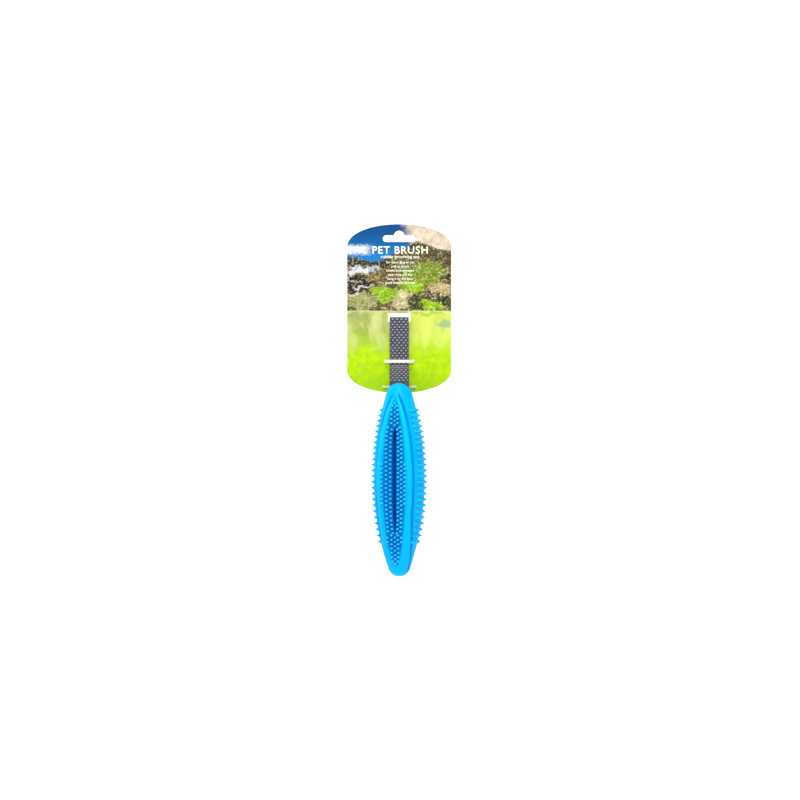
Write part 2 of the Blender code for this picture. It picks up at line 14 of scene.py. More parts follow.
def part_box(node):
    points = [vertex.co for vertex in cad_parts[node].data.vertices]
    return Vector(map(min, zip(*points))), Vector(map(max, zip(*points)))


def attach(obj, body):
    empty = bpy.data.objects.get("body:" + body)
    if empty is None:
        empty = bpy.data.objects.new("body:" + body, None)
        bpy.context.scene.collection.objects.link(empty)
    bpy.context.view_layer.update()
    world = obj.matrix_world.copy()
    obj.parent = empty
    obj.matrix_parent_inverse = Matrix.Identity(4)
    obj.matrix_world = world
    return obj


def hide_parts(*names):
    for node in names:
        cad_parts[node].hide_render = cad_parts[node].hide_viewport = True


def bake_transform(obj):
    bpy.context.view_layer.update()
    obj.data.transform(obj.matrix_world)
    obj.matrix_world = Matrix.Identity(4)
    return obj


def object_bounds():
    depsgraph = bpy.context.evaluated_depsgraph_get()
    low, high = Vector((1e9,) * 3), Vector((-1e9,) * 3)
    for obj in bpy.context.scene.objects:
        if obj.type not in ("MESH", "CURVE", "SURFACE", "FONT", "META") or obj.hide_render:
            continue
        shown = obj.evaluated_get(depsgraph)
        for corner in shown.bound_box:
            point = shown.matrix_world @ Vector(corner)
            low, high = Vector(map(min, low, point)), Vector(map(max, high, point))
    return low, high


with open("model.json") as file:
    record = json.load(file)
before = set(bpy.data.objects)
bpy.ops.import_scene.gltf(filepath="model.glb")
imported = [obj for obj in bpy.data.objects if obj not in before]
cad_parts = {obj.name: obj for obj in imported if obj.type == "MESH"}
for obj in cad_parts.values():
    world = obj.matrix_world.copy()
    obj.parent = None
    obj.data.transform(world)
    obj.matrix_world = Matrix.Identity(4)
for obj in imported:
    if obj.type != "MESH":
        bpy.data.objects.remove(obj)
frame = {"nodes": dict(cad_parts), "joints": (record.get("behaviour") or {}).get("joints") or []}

CAD_LOW, CAD_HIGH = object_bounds()
JOINTS = {joint["name"]: joint for joint in frame["joints"]}
CARD_LOW, CARD_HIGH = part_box("header_card")
RUN_LOW, RUN_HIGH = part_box("webbing_run")
BRUSH_LOW, BRUSH_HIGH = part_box("rubber_brush")
MM = 0.001
GAP = 0.3 * MM

# Card
CARD_HALF_WIDTH = (CARD_HIGH.x - CARD_LOW.x) / 2
CARD_TOP = CARD_HIGH.z
CARD_BOTTOM = CARD_LOW.z
CARD_HALF_THICKNESS = CARD_HIGH.y
CARD_END_RISE = 22.8 * MM
CARD_END_EXPONENT = 2.1
SLOT_HALF_WIDTH = 16.5 * MM
SLOT_TOP = -4.6 * MM
SLOT_BOTTOM = -11.3 * MM
SLOT_BUMP_RADIUS = 5.4 * MM
WINDOW_HALF_WIDTH = 11.25 * MM
WINDOW_TOP = -82.3 * MM
WINDOW_BOTTOM = -91.0 * MM
WINDOW_CORNER = 1.2 * MM
TIE_HOLE_MARGIN = 0.12 * MM
TIE_HOLE_CORNER = 0.4 * MM

# Ties
UPPER_TIE_WIDTH = 3.0 * MM
LOWER_TIE_WIDTH = 2.2 * MM
TIE_THICKNESS = 1.0 * MM
UPPER_TIE_Z = -130.5 * MM
UPPER_TIE_HALF_SPAN = 14.4 * MM
LOWER_TIE_Z = -156.0 * MM
LOWER_TIE_HALF_SPAN = 16.2 * MM
TIE_SHOULDER = 0.6 * MM
TIE_BEND = 0.8 * MM
TIE_CORNER = 0.28 * MM
TIE_HEAD = Vector((4.6, 4.2, 4.6)) * MM
TIE_HEAD_OFFSET = 0.5 * MM
TIE_LOCK = TIE_HEAD - Vector((0.1, 0.7, 0.1)) * MM
TIE_LOCK_RECESS = 0.7 * MM
TIE_LOCK_CORNER = 0.55 * MM
TIE_STUB = (0.95 * MM, 2.4 * MM, 2.7 * MM)
TIE_STUB_SHIFT = 0.4 * MM
TIE_STUB_CORNER = 0.2 * MM

# Webbing
PLY = 1.5 * MM
WEBBING_HALF_WIDTH = RUN_HIGH.x
CARD_FACE = CARD_LOW.y - GAP
FOLD_Z = -89.9 * MM
LIFT_TOP = -133.0 * MM
FORK_Z = -138.5 * MM
FREE_END_Z = RUN_LOW.z
FREE_END_FLAT_Z = -149.0 * MM
SEAM_Z = -90.1 * MM
LOOP_LEAN = math.radians(2.3)
LOOP_LENGTH = 56.0 * MM
LOOP_SPLIT = 27.0 * MM
LOOP_BULGE = 6.0 * MM
STRAP_THICKNESS = 1.28 * MM
WEAVE_STEP = 0.33 * MM
ROW_PITCH = 2.6 * MM
YARN_PITCH = 1.1 * MM
FLECK_PITCH = 4.4 * MM
FLECK_WIDTH = 0.62 * MM
FLECK_HEIGHT = 0.5 * MM
SELVEDGE = 1.2 * MM
SIDE_LEVEL = 0.45
TACK_ROWS = (-134.8 * MM, -137.1 * MM)
TACK_HALF_WIDTH = 8.2 * MM
TACK_STITCH = 2.0 * MM
TACK_STROKES = 22
THREAD_RADIUS = 0.24 * MM

# Joint between the webbing and the brush
SWING_POINT = Vector(JOINTS["brush_swing"]["pos_m"])
LOOP_HINGE = Vector(JOINTS["hand_loop_swing"]["pos_m"])
BRUSH_TWIST = math.radians(-16)
SWING_CLEARANCE = 0.8 * MM
ANCHOR_CLEARANCE = 0.35 * MM
PIN_DEPTH = 20.0 * MM
PIN_RADIUS = 1.5 * MM
POCKET_HALF_WIDTH = 10.25 * MM
POCKET_HALF_GAP = 1.85 * MM
POCKET_BULB_RADIUS = 3.65 * MM

# Rubber brush; its grooves sit 4 degrees further round than the CAD's, as in the photo
BRUSH_HALF_LENGTH = 96.6 * MM
BRUSH_RADIUS = 25.4 * MM
UPPER_ARC = 303 * MM
LOWER_ARC = 279 * MM
BRUSH_CENTRE = -96.9 * MM
PANEL_TOP = 88.0 * MM
TROUGH_TOP = 83.0 * MM
TROUGH_BOTTOM = -88.0 * MM
TROUGH_DEPTH = 9.4 * MM
TROUGH_HALF_WIDTH = 14.5 * MM
TROUGH_END_HALF_WIDTH = 0.6 * MM
GROOVE_HALF_WIDTH = 1.2 * MM
GROOVE_DEPTH = 1.5 * MM
GROOVE_LARGEST_LIP = math.radians(9)
GROOVE_ANGLE = math.radians(50)
GROOVE_SPREAD = math.radians(30)
GROOVE_SPREAD_START = -35.0 * MM
RIM_HEIGHT = 0.5 * MM
WELL_CENTRE = -0.9 * MM
WELL_HALF_LENGTH = 53.0 * MM
WELL_HALF_WIDTH = 2.8 * MM
WELL_FLOOR_RADIUS = 4.5 * MM
FLOOR_MARGIN = 0.35 * MM
PEG_PITCH = 4.3 * MM
PEG_COLUMN = 3.9 * MM
PEG_RADIUS = 1.15 * MM
PEG_HEIGHT = 3.0 * MM
PEG_WELL_MARGIN = 0.9 * MM
PEG_RIM_MARGIN = 1.2 * MM
PEG_BOTTOM = -83.0 * MM
PEG_TOP = 80.0 * MM
SPIKE_PITCH = 5.25 * MM
SPIKE_PITCH_GROWTH = 0.0196 * MM
SPIKE_ROWS = 24
SPIKE_COLUMN = 5.3 * MM
SPIKE_TOP = 69.4 * MM
SPIKE_HEIGHT = 3.1 * MM
BOSS_SIDES = 10
BOSS_SPIN = 0.37
TIP_FLAT = 0.1 * MM
BODY_RINGS = 190

# Where the brush's painted shade and painted highlights fade in and out: each pair is the start and the
# end of a fade
PEG_TIP_START = 0.5 * MM
SPIKE_TIP_START = 0.9 * MM
VALLEY_FADE = 2.2 * MM
CREST_FADE = 12 * MM
WELL_SIDE_FADE = (3.3 * MM, 3.0 * MM)
WELL_END_FADE = (54.5 * MM, 53.5 * MM)
WELL_DEPTH_FADE = (14.5 * MM, 9.0 * MM)
WELL_LEE_FADE = (0.3 * MM, 2.6 * MM)

# Stage, lights (energy, size, place) and camera, in metres
FLOOR_Z = -0.95
FLOOR_FRONT_Y = -8.0
WALL_Y = 3.2
WALL_TOP = 6.0
SWEEP_BEND = 1.2
SWEEP_HALF_WIDTH = 9.0
SWEEP_GLOW = 0.5
WORLD_LIGHT = 0.38
LIGHT_AIM = (0, 0, -0.17)
LIGHTS = {
    "key": (8.6, (0.4, 0.35), (0.0, -1.2, 0.6)),
    "fill": (2.6, (0.6, 0.9), (-1.1, -0.7, 0.15)),
    "top": (7.5, (0.25, 0.2), (0.0, -0.5, 0.95)),
}
CAMERA_AIM_X = 0.8 * MM
CAMERA_DISTANCE = 4.5
CAMERA_ELEVATION = math.radians(1)
SENSOR_WIDTH = 36
VIEW_WIDTH = 0.8

SIDE_VIEW = (math.radians(90), 0, math.radians(90))
FRONT_VIEW = (math.radians(90), 0, 0)
BRUSH_FRAME = Matrix.Translation(SWING_POINT) @ Matrix.Rotation(BRUSH_TWIST, 4, "Z")


# ---- Colours and materials

def linear(channel_shade):
    return channel_shade / 12.92 if channel_shade <= 0.04045 else ((channel_shade + 0.055) / 1.055) ** 2.4


def colour(code):
    return tuple(linear(int(code[i:i + 2], 16) / 255) for i in (0, 2, 4)) + (1,)


class Look:
    """One material and short ways to add nodes to it."""

    def __init__(self, name, base="808080", roughness=0.5):
        self.material = bpy.data.materials.new(name)
        self.material.use_nodes = True
        self.tree = self.material.node_tree
        self.shader = self.tree.nodes["Principled BSDF"]
        self.set("Base Color", colour(base))
        self.set("Roughness", roughness)

    def set(self, name, value):
        self.feed(self.shader.inputs[name], value)

    def feed(self, socket, value):
        if isinstance(value, bpy.types.NodeSocket):
            self.tree.links.new(value, socket)
        else:
            socket.default_value = value

    def node(self, kind, inputs=None, **settings):
        made = self.tree.nodes.new("ShaderNode" + kind)
        for key, value in settings.items():
            setattr(made, key, value)
        for key, value in (inputs or {}).items():
            self.feed(made.inputs[key], value)
        return made

    def math(self, operation, first, second=0.0, clamp=False):
        return self.node("Math", {0: first, 1: second}, operation=operation, use_clamp=clamp).outputs[0]

    def times(self, first, second):
        return self.math("MULTIPLY", first, second)

    def plus(self, first, second):
        return self.math("ADD", first, second)

    def minus(self, first, second):
        return self.math("SUBTRACT", first, second)

    def absolute(self, value):
        return self.math("ABSOLUTE", value)

    def step(self, value, low, high, to_low=0.0, to_high=1.0):
        inputs = {"Value": value, "From Min": low, "From Max": high, "To Min": to_low, "To Max": to_high}
        return self.node("MapRange", inputs, interpolation_type="SMOOTHSTEP").outputs[0]

    def mix(self, factor, first, second, blend="MIX"):
        first = colour(first) if isinstance(first, str) else first
        second = colour(second) if isinstance(second, str) else second
        made = self.node("Mix", {0: factor, 6: first, 7: second}, data_type="RGBA", blend_type=blend)
        return made.outputs[2]

    def ramp(self, value, stops):
        made = self.node("ValToRGB", {0: value})
        elements = made.color_ramp.elements
        while len(elements) < len(stops):
            elements.new(0.5)
        for element, (position, code) in zip(elements, stops):
            element.position = position
            element.color = colour(code) if isinstance(code, str) else (code, code, code, 1)
        return made.outputs[0]

    def place(self, scale=(1000, 1000, 1000)):
        """Object coordinates, in millimetres unless stretched."""
        source = self.node("TexCoord").outputs["Object"]
        return self.node("VectorMath", {0: source, 1: scale}, operation="MULTIPLY").outputs[0]

    def noise(self, where, scale, detail=4.0, roughness=0.55, distortion=0.0):
        inputs = {"Vector": where, "Scale": scale, "Detail": detail, "Roughness": roughness,
                  "Distortion": distortion}
        return self.node("TexNoise", inputs).outputs[0]

    def attribute(self, name):
        return self.node("Attribute", attribute_name=name).outputs["Fac"]

    def bump(self, height, strength, distance):
        inputs = {"Height": height, "Strength": strength, "Distance": distance}
        self.set("Normal", self.node("Bump", inputs).outputs[0])


def rubber_look():
    """Even blue, with painted shade down between the pegs, in the side grooves and in the wells, and
    painted highlights on the rims and boss tips.
    """
    look = Look("blue_rubber", "00b8fa", 0.42)
    where = look.place()
    mottle = look.noise(where, 0.05, 3.0)
    tint = look.mix(look.step(mottle, 0.3, 0.75), "00b0f2", "00bbf8")
    # Painted highlight: the rim crests are tinted paler cyan, as if they catch the light
    tint = look.mix(look.times(look.attribute("crest_highlight"), 0.4), tint, "00dcff")
    # Painted shade: the side channels are tinted darker blue
    tint = look.mix(look.times(look.attribute("channel_shade"), 0.75), tint, "008ad6")
    # Painted shade: the trough floor between the pegs is tinted dark blue
    tint = look.mix(look.times(look.attribute("valley_shade"), 0.85), tint, "0068b8")

    # Painted shade in the wells, found in the brush's own frame: darker down inside, darkest over the
    # lee half, the other half pale
    brush_frame = {"Vector": look.node("TexCoord").outputs["Object"], "Location": SWING_POINT,
                   "Rotation": (0, 0, BRUSH_TWIST)}
    turned = look.node("Mapping", brush_frame, vector_type="TEXTURE")
    axes = look.node("SeparateXYZ", {0: turned.outputs[0]}).outputs
    inside = look.step(look.absolute(axes["X"]), *WELL_SIDE_FADE)
    along = look.absolute(look.minus(axes["Z"], BRUSH_CENTRE + WELL_CENTRE))
    inside = look.times(inside, look.step(along, *WELL_END_FADE))
    sunk = look.step(look.absolute(axes["Y"]), *WELL_DEPTH_FADE)
    facing = look.times(look.math("SIGN", axes["Y"]), axes["X"])
    lee = look.step(facing, *WELL_LEE_FADE)
    tint = look.mix(look.times(inside, sunk), tint, look.mix(lee, "00b4ff", "005cb4"))

    # Painted highlight: the peg and spike tips are tinted pale cyan
    tint = look.mix(look.times(look.attribute("tip_highlight"), 0.5), tint, "4cd6ff")
    look.set("Base Color", tint)
    grain = look.noise(where, 6.0, 3.0)
    bloom = look.noise(where, 0.5, 5.0, 0.65)
    look.set("Roughness", look.step(bloom, 0.3, 0.75, 0.28, 0.42))
    look.bump(look.plus(grain, look.times(bloom, 0.6)), 0.1, 0.0002)
    look.set("IOR", 1.14)
    look.set("Subsurface Weight", 0.05)
    look.set("Subsurface Radius", (0.1, 0.45, 1.0))
    look.set("Subsurface Scale", 0.002)
    return look.material


def webbing_look():
    look = Look("grey_webbing", "4a4a52", 0.82)
    where = look.place()
    fleck = look.attribute("fleck")
    groove = look.attribute("groove")
    dye = look.noise(where, 0.35, 4.0)
    yarn = look.noise(look.place((1400, 1400, 5200)), 1.0, 4.0, 0.7)
    tint = look.mix(look.step(dye, 0.3, 0.7), "3b3c42", "4f5058")
    tint = look.mix(look.step(yarn, 0.45, 0.75, 0.0, 0.8), tint, "6f7078")
    # Painted shade: near black in the hollows between woven rows, and a fixed darkening on the strap's
    # sides
    tint = look.mix(look.times(groove, 0.9), tint, "131317")
    pale = look.mix(look.step(yarn, 0.3, 0.7), "a4a6b2", "e9eaf2")
    tint = look.mix(fleck, tint, pale)
    look.set("Base Color", tint)
    look.set("Sheen Weight", 0.12)
    look.set("Sheen Roughness", 0.5)
    look.set("Specular IOR Level", 0.25)
    look.set("Roughness", look.step(yarn, 0.2, 0.8, 0.9, 0.66))
    look.bump(yarn, 0.5, 0.0003)
    return look.material


def nylon_look(name, base, shade):
    look = Look(name, base, 0.36)
    where = look.place()
    haze = look.noise(where, 0.25, 4.0)
    look.set("Base Color", look.mix(look.step(haze, 0.35, 0.75), base, shade))
    scratch = look.noise(look.place((300, 300, 4000)), 1.0, 5.0, 0.7)
    look.set("Roughness", look.step(scratch, 0.3, 0.7, 0.3, 0.48))
    look.bump(scratch, 0.15, 0.0001)
    look.set("Subsurface Weight", 0.2)
    look.set("Subsurface Radius", (1.0, 0.95, 0.85))
    look.set("Subsurface Scale", 0.0012)
    return look.material


def thread_look():
    look = Look("grey_thread", "8d8c96", 0.7)
    fibre = look.noise(look.place(), 4.0, 4.0, 0.7)
    look.set("Base Color", look.mix(look.step(fibre, 0.35, 0.7), "75747e", "b4b3bd"))
    look.set("Sheen Weight", 0.4)
    look.bump(fibre, 0.6, 0.0002)
    return look.material


# Patches of the hillside: centre and reach in millimetres, colour, strength
HILL_PATCHES = (
    ((24, -42), (22, 12), "86a21c", 0.75),
    ((8, -34), (12, 6), "6d6f52", 0.6),
    ((-45, -31), (18, 4.6), "1b1f29", 0.9),
    ((-22, -34), (13, 4.4), "262933", 0.85),
    ((-40, -40), (13, 3.6), "f2f0f6", 0.9),
    ((-46, -35), (5, 1.8), "dcdde8", 0.9),
    ((-26, -38), (8, 2.0), "c9cdd9", 0.8),
    ((-41, -53), (15, 8.5), "1d1719", 0.9),
    ((-36, -57), (11, 1.3), "f0eaec", 0.9),
    ((-47, -50), (5, 1.5), "c9c0c0", 0.8),
    ((-24, -47), (8, 5), "927e42", 0.8),
    ((-39, -71), (19, 9), "a9ab68", 0.9),
    ((-46, -64), (8, 2.2), "dadab8", 0.7),
    ((-15, -63), (13, 8.5), "9acb0a", 0.9),
    ((3, -69), (9, 11), "ddd09a", 0.85),
    ((12, -56), (12, 6), "a2cf10", 0.9),
    ((30, -49), (14, 6), "8c9a1c", 0.8),
    ((42, -58), (12, 7), "cdb985", 0.85),
    ((18, -72), (12, 5.5), "3c4a12", 0.9),
    ((33, -75), (11, 4.2), "aad812", 0.9),
    ((46, -70), (9, 5.2), "2d3f10", 0.9),
    ((-50, -79), (4, 1.8), "1c2614", 0.8),
    ((19, -17), (12, 6), "3a2f20", 0.9),
    ((36, -24), (14, 4), "54462e", 0.85),
)
LAKE_PATCHES = (
    ((46, -93), (9, 5), "6da48c", 0.6),
    ((-44, -84), (12, 3), "8b9a58", 0.7),
    ((30, -83), (16, 2.2), "93b81c", 0.7),
)


def card_look():
    """Laminated print on the front, white board edges and a plain uncoated back."""
    look = Look("printed_card", "ffffff", 0.4)
    source = look.node("TexCoord").outputs["Object"]
    axes = look.node("SeparateXYZ", {0: source})
    x = look.times(axes.outputs["X"], 1000.0)
    depth = axes.outputs["Y"]
    z = look.times(axes.outputs["Z"], 1000.0)
    flat = look.node("CombineXYZ", {0: x, 1: 0.0, 2: z}).outputs[0]
    broad = look.noise(flat, 0.055, 5.0)
    middle = look.noise(flat, 0.13, 6.0, 0.62)
    fine = look.noise(flat, 0.42, 6.0, 0.68)

    def stretched(where, turn, scale):
        inputs = {"Vector": where, "Rotation": (0, turn, 0), "Scale": scale}
        return look.node("Mapping", inputs).outputs[0]

    strata = look.noise(stretched(flat, 0.75, (1, 1, 2.8)), 0.12, 6.0, 0.66, 0.6)
    drift = look.node("TexNoise", {"Vector": flat, "Scale": 0.11, "Detail": 6.0, "Roughness": 0.62})
    centred = {0: drift.outputs["Color"], 1: (0.5, 0.5, 0.5)}
    drift = look.node("VectorMath", centred, operation="SUBTRACT")
    drift = look.node("VectorMath", {0: drift.outputs[0], 1: (30, 0, 22)}, operation="MULTIPLY")
    warped = look.node("VectorMath", {0: flat, 1: drift.outputs[0]}, operation="ADD").outputs[0]

    def signed(value, amount):
        return look.times(look.minus(value, 0.5), amount)

    def patch(picture, centre, reach, code, strength):
        """Lay a ragged-edged patch of one colour over the picture."""
        offset = look.node("VectorMath", {0: warped, 1: (centre[0], 0, centre[1])}, operation="SUBTRACT")
        shrunk = look.node("VectorMath", {0: offset.outputs[0], 1: (1 / reach[0], 0, 1 / reach[1])},
                           operation="MULTIPLY")
        distance = look.node("VectorMath", {0: shrunk.outputs[0]}, operation="LENGTH").outputs["Value"]
        ragged = look.plus(distance, signed(fine, 1.1))
        return look.mix(look.step(ragged, 1.15, 0.7, 0.0, strength), picture, code)

    across = look.plus(x, CARD_HALF_WIDTH / MM)
    across = look.math("DIVIDE", across, 2 * CARD_HALF_WIDTH / MM, clamp=True)

    def profile(stops, low, high):
        """A height, in millimetres, that changes across the card."""
        spans = [(position, (height - low) / (high - low)) for position, height in stops]
        return look.plus(look.times(look.ramp(across, spans), high - low), low)

    scree = look.noise(stretched(warped, 0.62, (0.35, 1, 1.5)), 0.42, 5.0, 0.7)
    scree_right = look.noise(stretched(warped, -0.62, (0.35, 1, 1.5)), 0.42, 5.0, 0.7)
    facing = look.step(look.plus(x, signed(broad, 30.0)), -16.0, -4.0)
    slopes = look.plus(look.times(scree, look.minus(1.0, facing)), look.times(scree_right, facing))

    sky = look.ramp(look.step(z, -30.0, 6.0), [(0, "1278b8"), (0.5, "005896"), (1, "00447a")])
    upper = look.minus(x, look.times(z, -0.55))
    upper = look.plus(upper, signed(broad, 46.0))
    cloud = look.mix(look.step(middle, 0.3, 0.7), "e2d5c2", "bda891")
    cloud = look.mix(look.step(fine, 0.5, 0.75, 0.0, 0.7), cloud, "a08c7a")
    sky = look.mix(look.step(upper, 0.0, 13.0), sky, cloud)
    band = look.absolute(look.plus(look.plus(z, 19.0), signed(fine, 12.0)))
    left = look.step(look.plus(x, signed(middle, 20.0)), -23.0, -36.0)
    white = look.mix(look.step(fine, 0.3, 0.75), "b4bccc", "f6f3f0")
    sky = look.mix(look.times(look.step(band, 6.5, 2.0), left), sky, white)

    rock = look.ramp(slopes, [(0.36, "17140d"), (0.46, "4b4028"), (0.55, "7f7040"), (0.66, "c9b884")])
    hill = rock
    for spot in HILL_PATCHES:
        hill = patch(hill, *spot)
    light = look.ramp(slopes, [(0.36, 0.22), (0.47, 0.72), (0.6, 1.0)])
    hill = look.mix(0.85, hill, light, "MULTIPLY")
    glint = look.times(look.plus(slopes, fine), 0.5)
    hill = look.mix(look.step(glint, 0.52, 0.62, 0.0, 0.75), hill, "f3efc0", "SCREEN")
    shade = look.plus(fine, signed(strata, 0.5))
    hill = look.mix(look.step(shade, 0.46, 0.32, 0.0, 0.7), hill, "17180c")

    ridge = profile([(0, -26), (0.1, -27.5), (0.23, -31), (0.35, -29), (0.5, -20), (0.6, -14.5),
                     (0.675, -10.5), (0.77, -14), (0.88, -18), (1, -20)], -40.0, 0.0)
    jagged = look.plus(ridge, signed(fine, 10.0))
    picture = look.mix(look.step(look.minus(z, jagged), 0.8, -0.8), sky, hill)

    mirror = look.noise(stretched(flat, 0, (1, 1, 0.5)), 0.07, 4.0, 0.5, 0.4)
    ripple = look.noise(stretched(flat, 0, (0.25, 1, 1)), 0.5, 4.0)
    lake = look.ramp(mirror, [(0.34, "8c9a4a"), (0.45, "a1ad58"), (0.55, "b6c06c"), (0.7, "c6ce7e")])
    east = look.step(look.plus(x, signed(broad, 20.0)), 4.0, 18.0, 0.0, 0.65)
    lake = look.mix(east, lake, "d6e458")
    for spot in LAKE_PATCHES:
        lake = patch(lake, *spot)
    meadow = look.mix(look.step(middle, 0.35, 0.7), "a2cc00", "b6e004")
    sink = look.plus(z, signed(mirror, 40.0))
    lake = look.mix(look.step(sink, -96.0, -130.0), lake, meadow)
    lake = look.mix(look.step(z, -134.0, -160.0, 0.0, 0.6), lake, "90c000")
    lake = look.mix(look.step(ripple, 0.58, 0.74, 0.0, 0.14), lake, "f2f6c8")
    shore = look.plus(z, signed(ripple, 1.6))
    picture = look.mix(look.step(shore, -80.0, -80.9), picture, lake)
    line = look.step(look.absolute(look.plus(shore, 80.3)), 0.8, 0.25, 0.0, 0.5)
    picture = look.mix(line, picture, "dfe0b0")

    fibre = look.noise(look.place(), 1.6, 6.0, 0.7)
    board = look.mix(look.step(fibre, 0.35, 0.7), "e2dfd6", "f1efe9")
    printed = look.step(depth, -CARD_HALF_THICKNESS * 0.9, -CARD_HALF_THICKNESS * 0.97)
    look.set("Base Color", look.mix(printed, board, picture))
    look.set("Roughness", look.minus(0.8, look.times(printed, 0.25)))
    look.set("Specular IOR Level", 0.15)
    look.bump(fibre, 0.12, 0.00012)
    return look.material


def lettering_look():
    look = Look("pale_print", "fbf6dd", 0.45)
    ink = look.noise(look.place(), 1.2, 4.0)
    look.set("Base Color", look.mix(look.step(ink, 0.4, 0.7), "fffbe6", "f2f4cd"))
    return look.material


# ---- Meshes

def new_object(name, mesh, material=None, matrix=None):
    made = bpy.data.objects.new(name, mesh)
    bpy.context.scene.collection.objects.link(made)
    if matrix is not None:
        made.matrix_world = matrix
    if material is not None:
        mesh.materials.clear()
        mesh.materials.append(material)
    return made


def mesh_from(name, points, faces):
    mesh = bpy.data.meshes.new(name)
    mesh.from_pydata([tuple(point) for point in points], [], faces)
    mesh.validate()
    mesh.update()
    return mesh


def skin_faces(rings, size, start=0, closed=False):
    """Faces between neighbouring rings that have the same number of points."""
    faces = []
    for ring in range(rings if closed else rings - 1):
        low = start + ring * size
        high = start + (ring + 1) % rings * size
        for index in range(size):
            after = (index + 1) % size
            faces.append((low + index, low + after, high + after, high + index))
    return faces


def add_attributes(mesh, columns):
    for label, values in columns.items():
        layer = mesh.attributes.new(label, "FLOAT", "POINT")
        layer.data.foreach_set("value", np.array(values, np.float32))


def outward(mesh, merge=True):
    work = bmesh.new()
    work.from_mesh(mesh)
    if merge:
        bmesh.ops.remove_doubles(work, verts=work.verts, dist=0.001 * MM)
    bmesh.ops.recalc_face_normals(work, faces=work.faces)
    work.to_mesh(mesh)
    work.free()


def evaluated_mesh(made):
    evaluated = made.evaluated_get(bpy.context.evaluated_depsgraph_get())
    return bpy.data.meshes.new_from_object(evaluated)


def curve_mesh(curve):
    source = new_object(curve.name + "_source", curve)
    mesh = evaluated_mesh(source)
    bpy.data.objects.remove(source, do_unlink=True)
    return mesh


def combine(target, tools, solver="EXACT"):
    """Apply one Boolean for each (operation, helper object) and remove the helpers."""
    for operation, tool in tools:
        modifier = target.modifiers.new(operation.title(), "BOOLEAN")
        modifier.object = tool
        modifier.operation = operation
        modifier.solver = solver
    mesh = evaluated_mesh(target)
    target.modifiers.clear()
    target.data = mesh
    for _, tool in tools:
        bpy.data.objects.remove(tool, do_unlink=True)


def smoothed(made, degrees=40):
    made.data.shade_smooth()
    made.data.set_sharp_from_angle(angle=math.radians(degrees))
    return made


def smoothstep(value):
    value = min(max(value, 0), 1)
    return value * value * (3 - 2 * value)


def spaced(start, end, count):
    return [start + (end - start) * index / count for index in range(count + 1)]


def arc_points(centre, radius, start, end, steps):
    angles = [math.radians(start + (end - start) * step / steps) for step in range(steps + 1)]
    return [(centre[0] + radius * math.cos(a), centre[1] + radius * math.sin(a)) for a in angles]


def flat_solid(name, outlines, half_depth, rotation):
    """Extrude closed outlines both ways along local Z; inner outlines are holes."""
    curve = bpy.data.curves.new(name, "CURVE")
    curve.dimensions = "2D"
    curve.fill_mode = "BOTH"
    curve.extrude = half_depth
    for outline in outlines:
        spline = curve.splines.new("POLY")
        spline.points.add(len(outline) - 1)
        for point, (across, along) in zip(spline.points, outline):
            point.co = (across, along, 0, 1)
        spline.use_cyclic_u = True
    mesh = curve_mesh(curve)
    outward(mesh)
    mesh.transform(Matrix.Rotation(rotation[2], 4, "Z") @ Matrix.Rotation(rotation[0], 4, "X"))
    return mesh


# ---- Card

def card_end(centre_z, rise, side, steps=64):
    points = []
    for step in range(steps + 1):
        angle = math.pi * step / steps
        across = math.copysign(abs(math.cos(angle)) ** (2 / CARD_END_EXPONENT), math.cos(angle))
        up = math.sin(angle) ** (2 / CARD_END_EXPONENT) if 0 < step < steps else 0
        points.append((side * CARD_HALF_WIDTH * across, centre_z + side * rise * up))
    return points


def hanging_slot():
    end_radius = (SLOT_TOP - SLOT_BOTTOM) / 2
    middle = (SLOT_TOP + SLOT_BOTTOM) / 2
    end_x = SLOT_HALF_WIDTH - end_radius
    dip = math.degrees(math.asin((SLOT_TOP + SLOT_BUMP_RADIUS) / SLOT_BUMP_RADIUS))
    right = arc_points((end_x, middle), end_radius, -90, 90, 24)
    bump = arc_points((0, -SLOT_BUMP_RADIUS), SLOT_BUMP_RADIUS, dip, 180 - dip, 32)
    left = arc_points((-end_x, middle), end_radius, 90, 270, 24)
    return right + bump + left


def rounded_box(centre, half, corner, steps=8):
    points = []
    for side, end, start in ((1, 1, 0), (-1, 1, 90), (-1, -1, 180), (1, -1, 270)):
        middle = (centre[0] + side * (half[0] - corner), centre[1] + end * (half[1] - corner))
        points += arc_points(middle, corner, start, start + 90, steps)
    return points


def strap_window():
    centre = (0, (WINDOW_TOP + WINDOW_BOTTOM) / 2)
    return rounded_box(centre, (WINDOW_HALF_WIDTH, (WINDOW_TOP - WINDOW_BOTTOM) / 2), WINDOW_CORNER)


def make_card():
    upper = card_end(CARD_TOP - CARD_END_RISE, CARD_END_RISE, 1)
    lower = card_end(CARD_BOTTOM + CARD_END_RISE, CARD_END_RISE, -1)
    outlines = [upper + lower, hanging_slot(), strap_window()]
    for height, half_span, width in ((UPPER_TIE_Z, UPPER_TIE_HALF_SPAN, UPPER_TIE_WIDTH),
                                     (LOWER_TIE_Z, LOWER_TIE_HALF_SPAN, LOWER_TIE_WIDTH)):
        for side in (-1, 1):
            half = (TIE_THICKNESS / 2 + TIE_HOLE_MARGIN, width / 2 + TIE_HOLE_MARGIN)
            outlines.append(rounded_box((side * half_span, height), half, TIE_HOLE_CORNER))
    mesh = flat_solid("card_print", outlines, CARD_HALF_THICKNESS, FRONT_VIEW)
    card = new_object("card_print", mesh, card_look())
    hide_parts("header_card")
    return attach(card, "card")


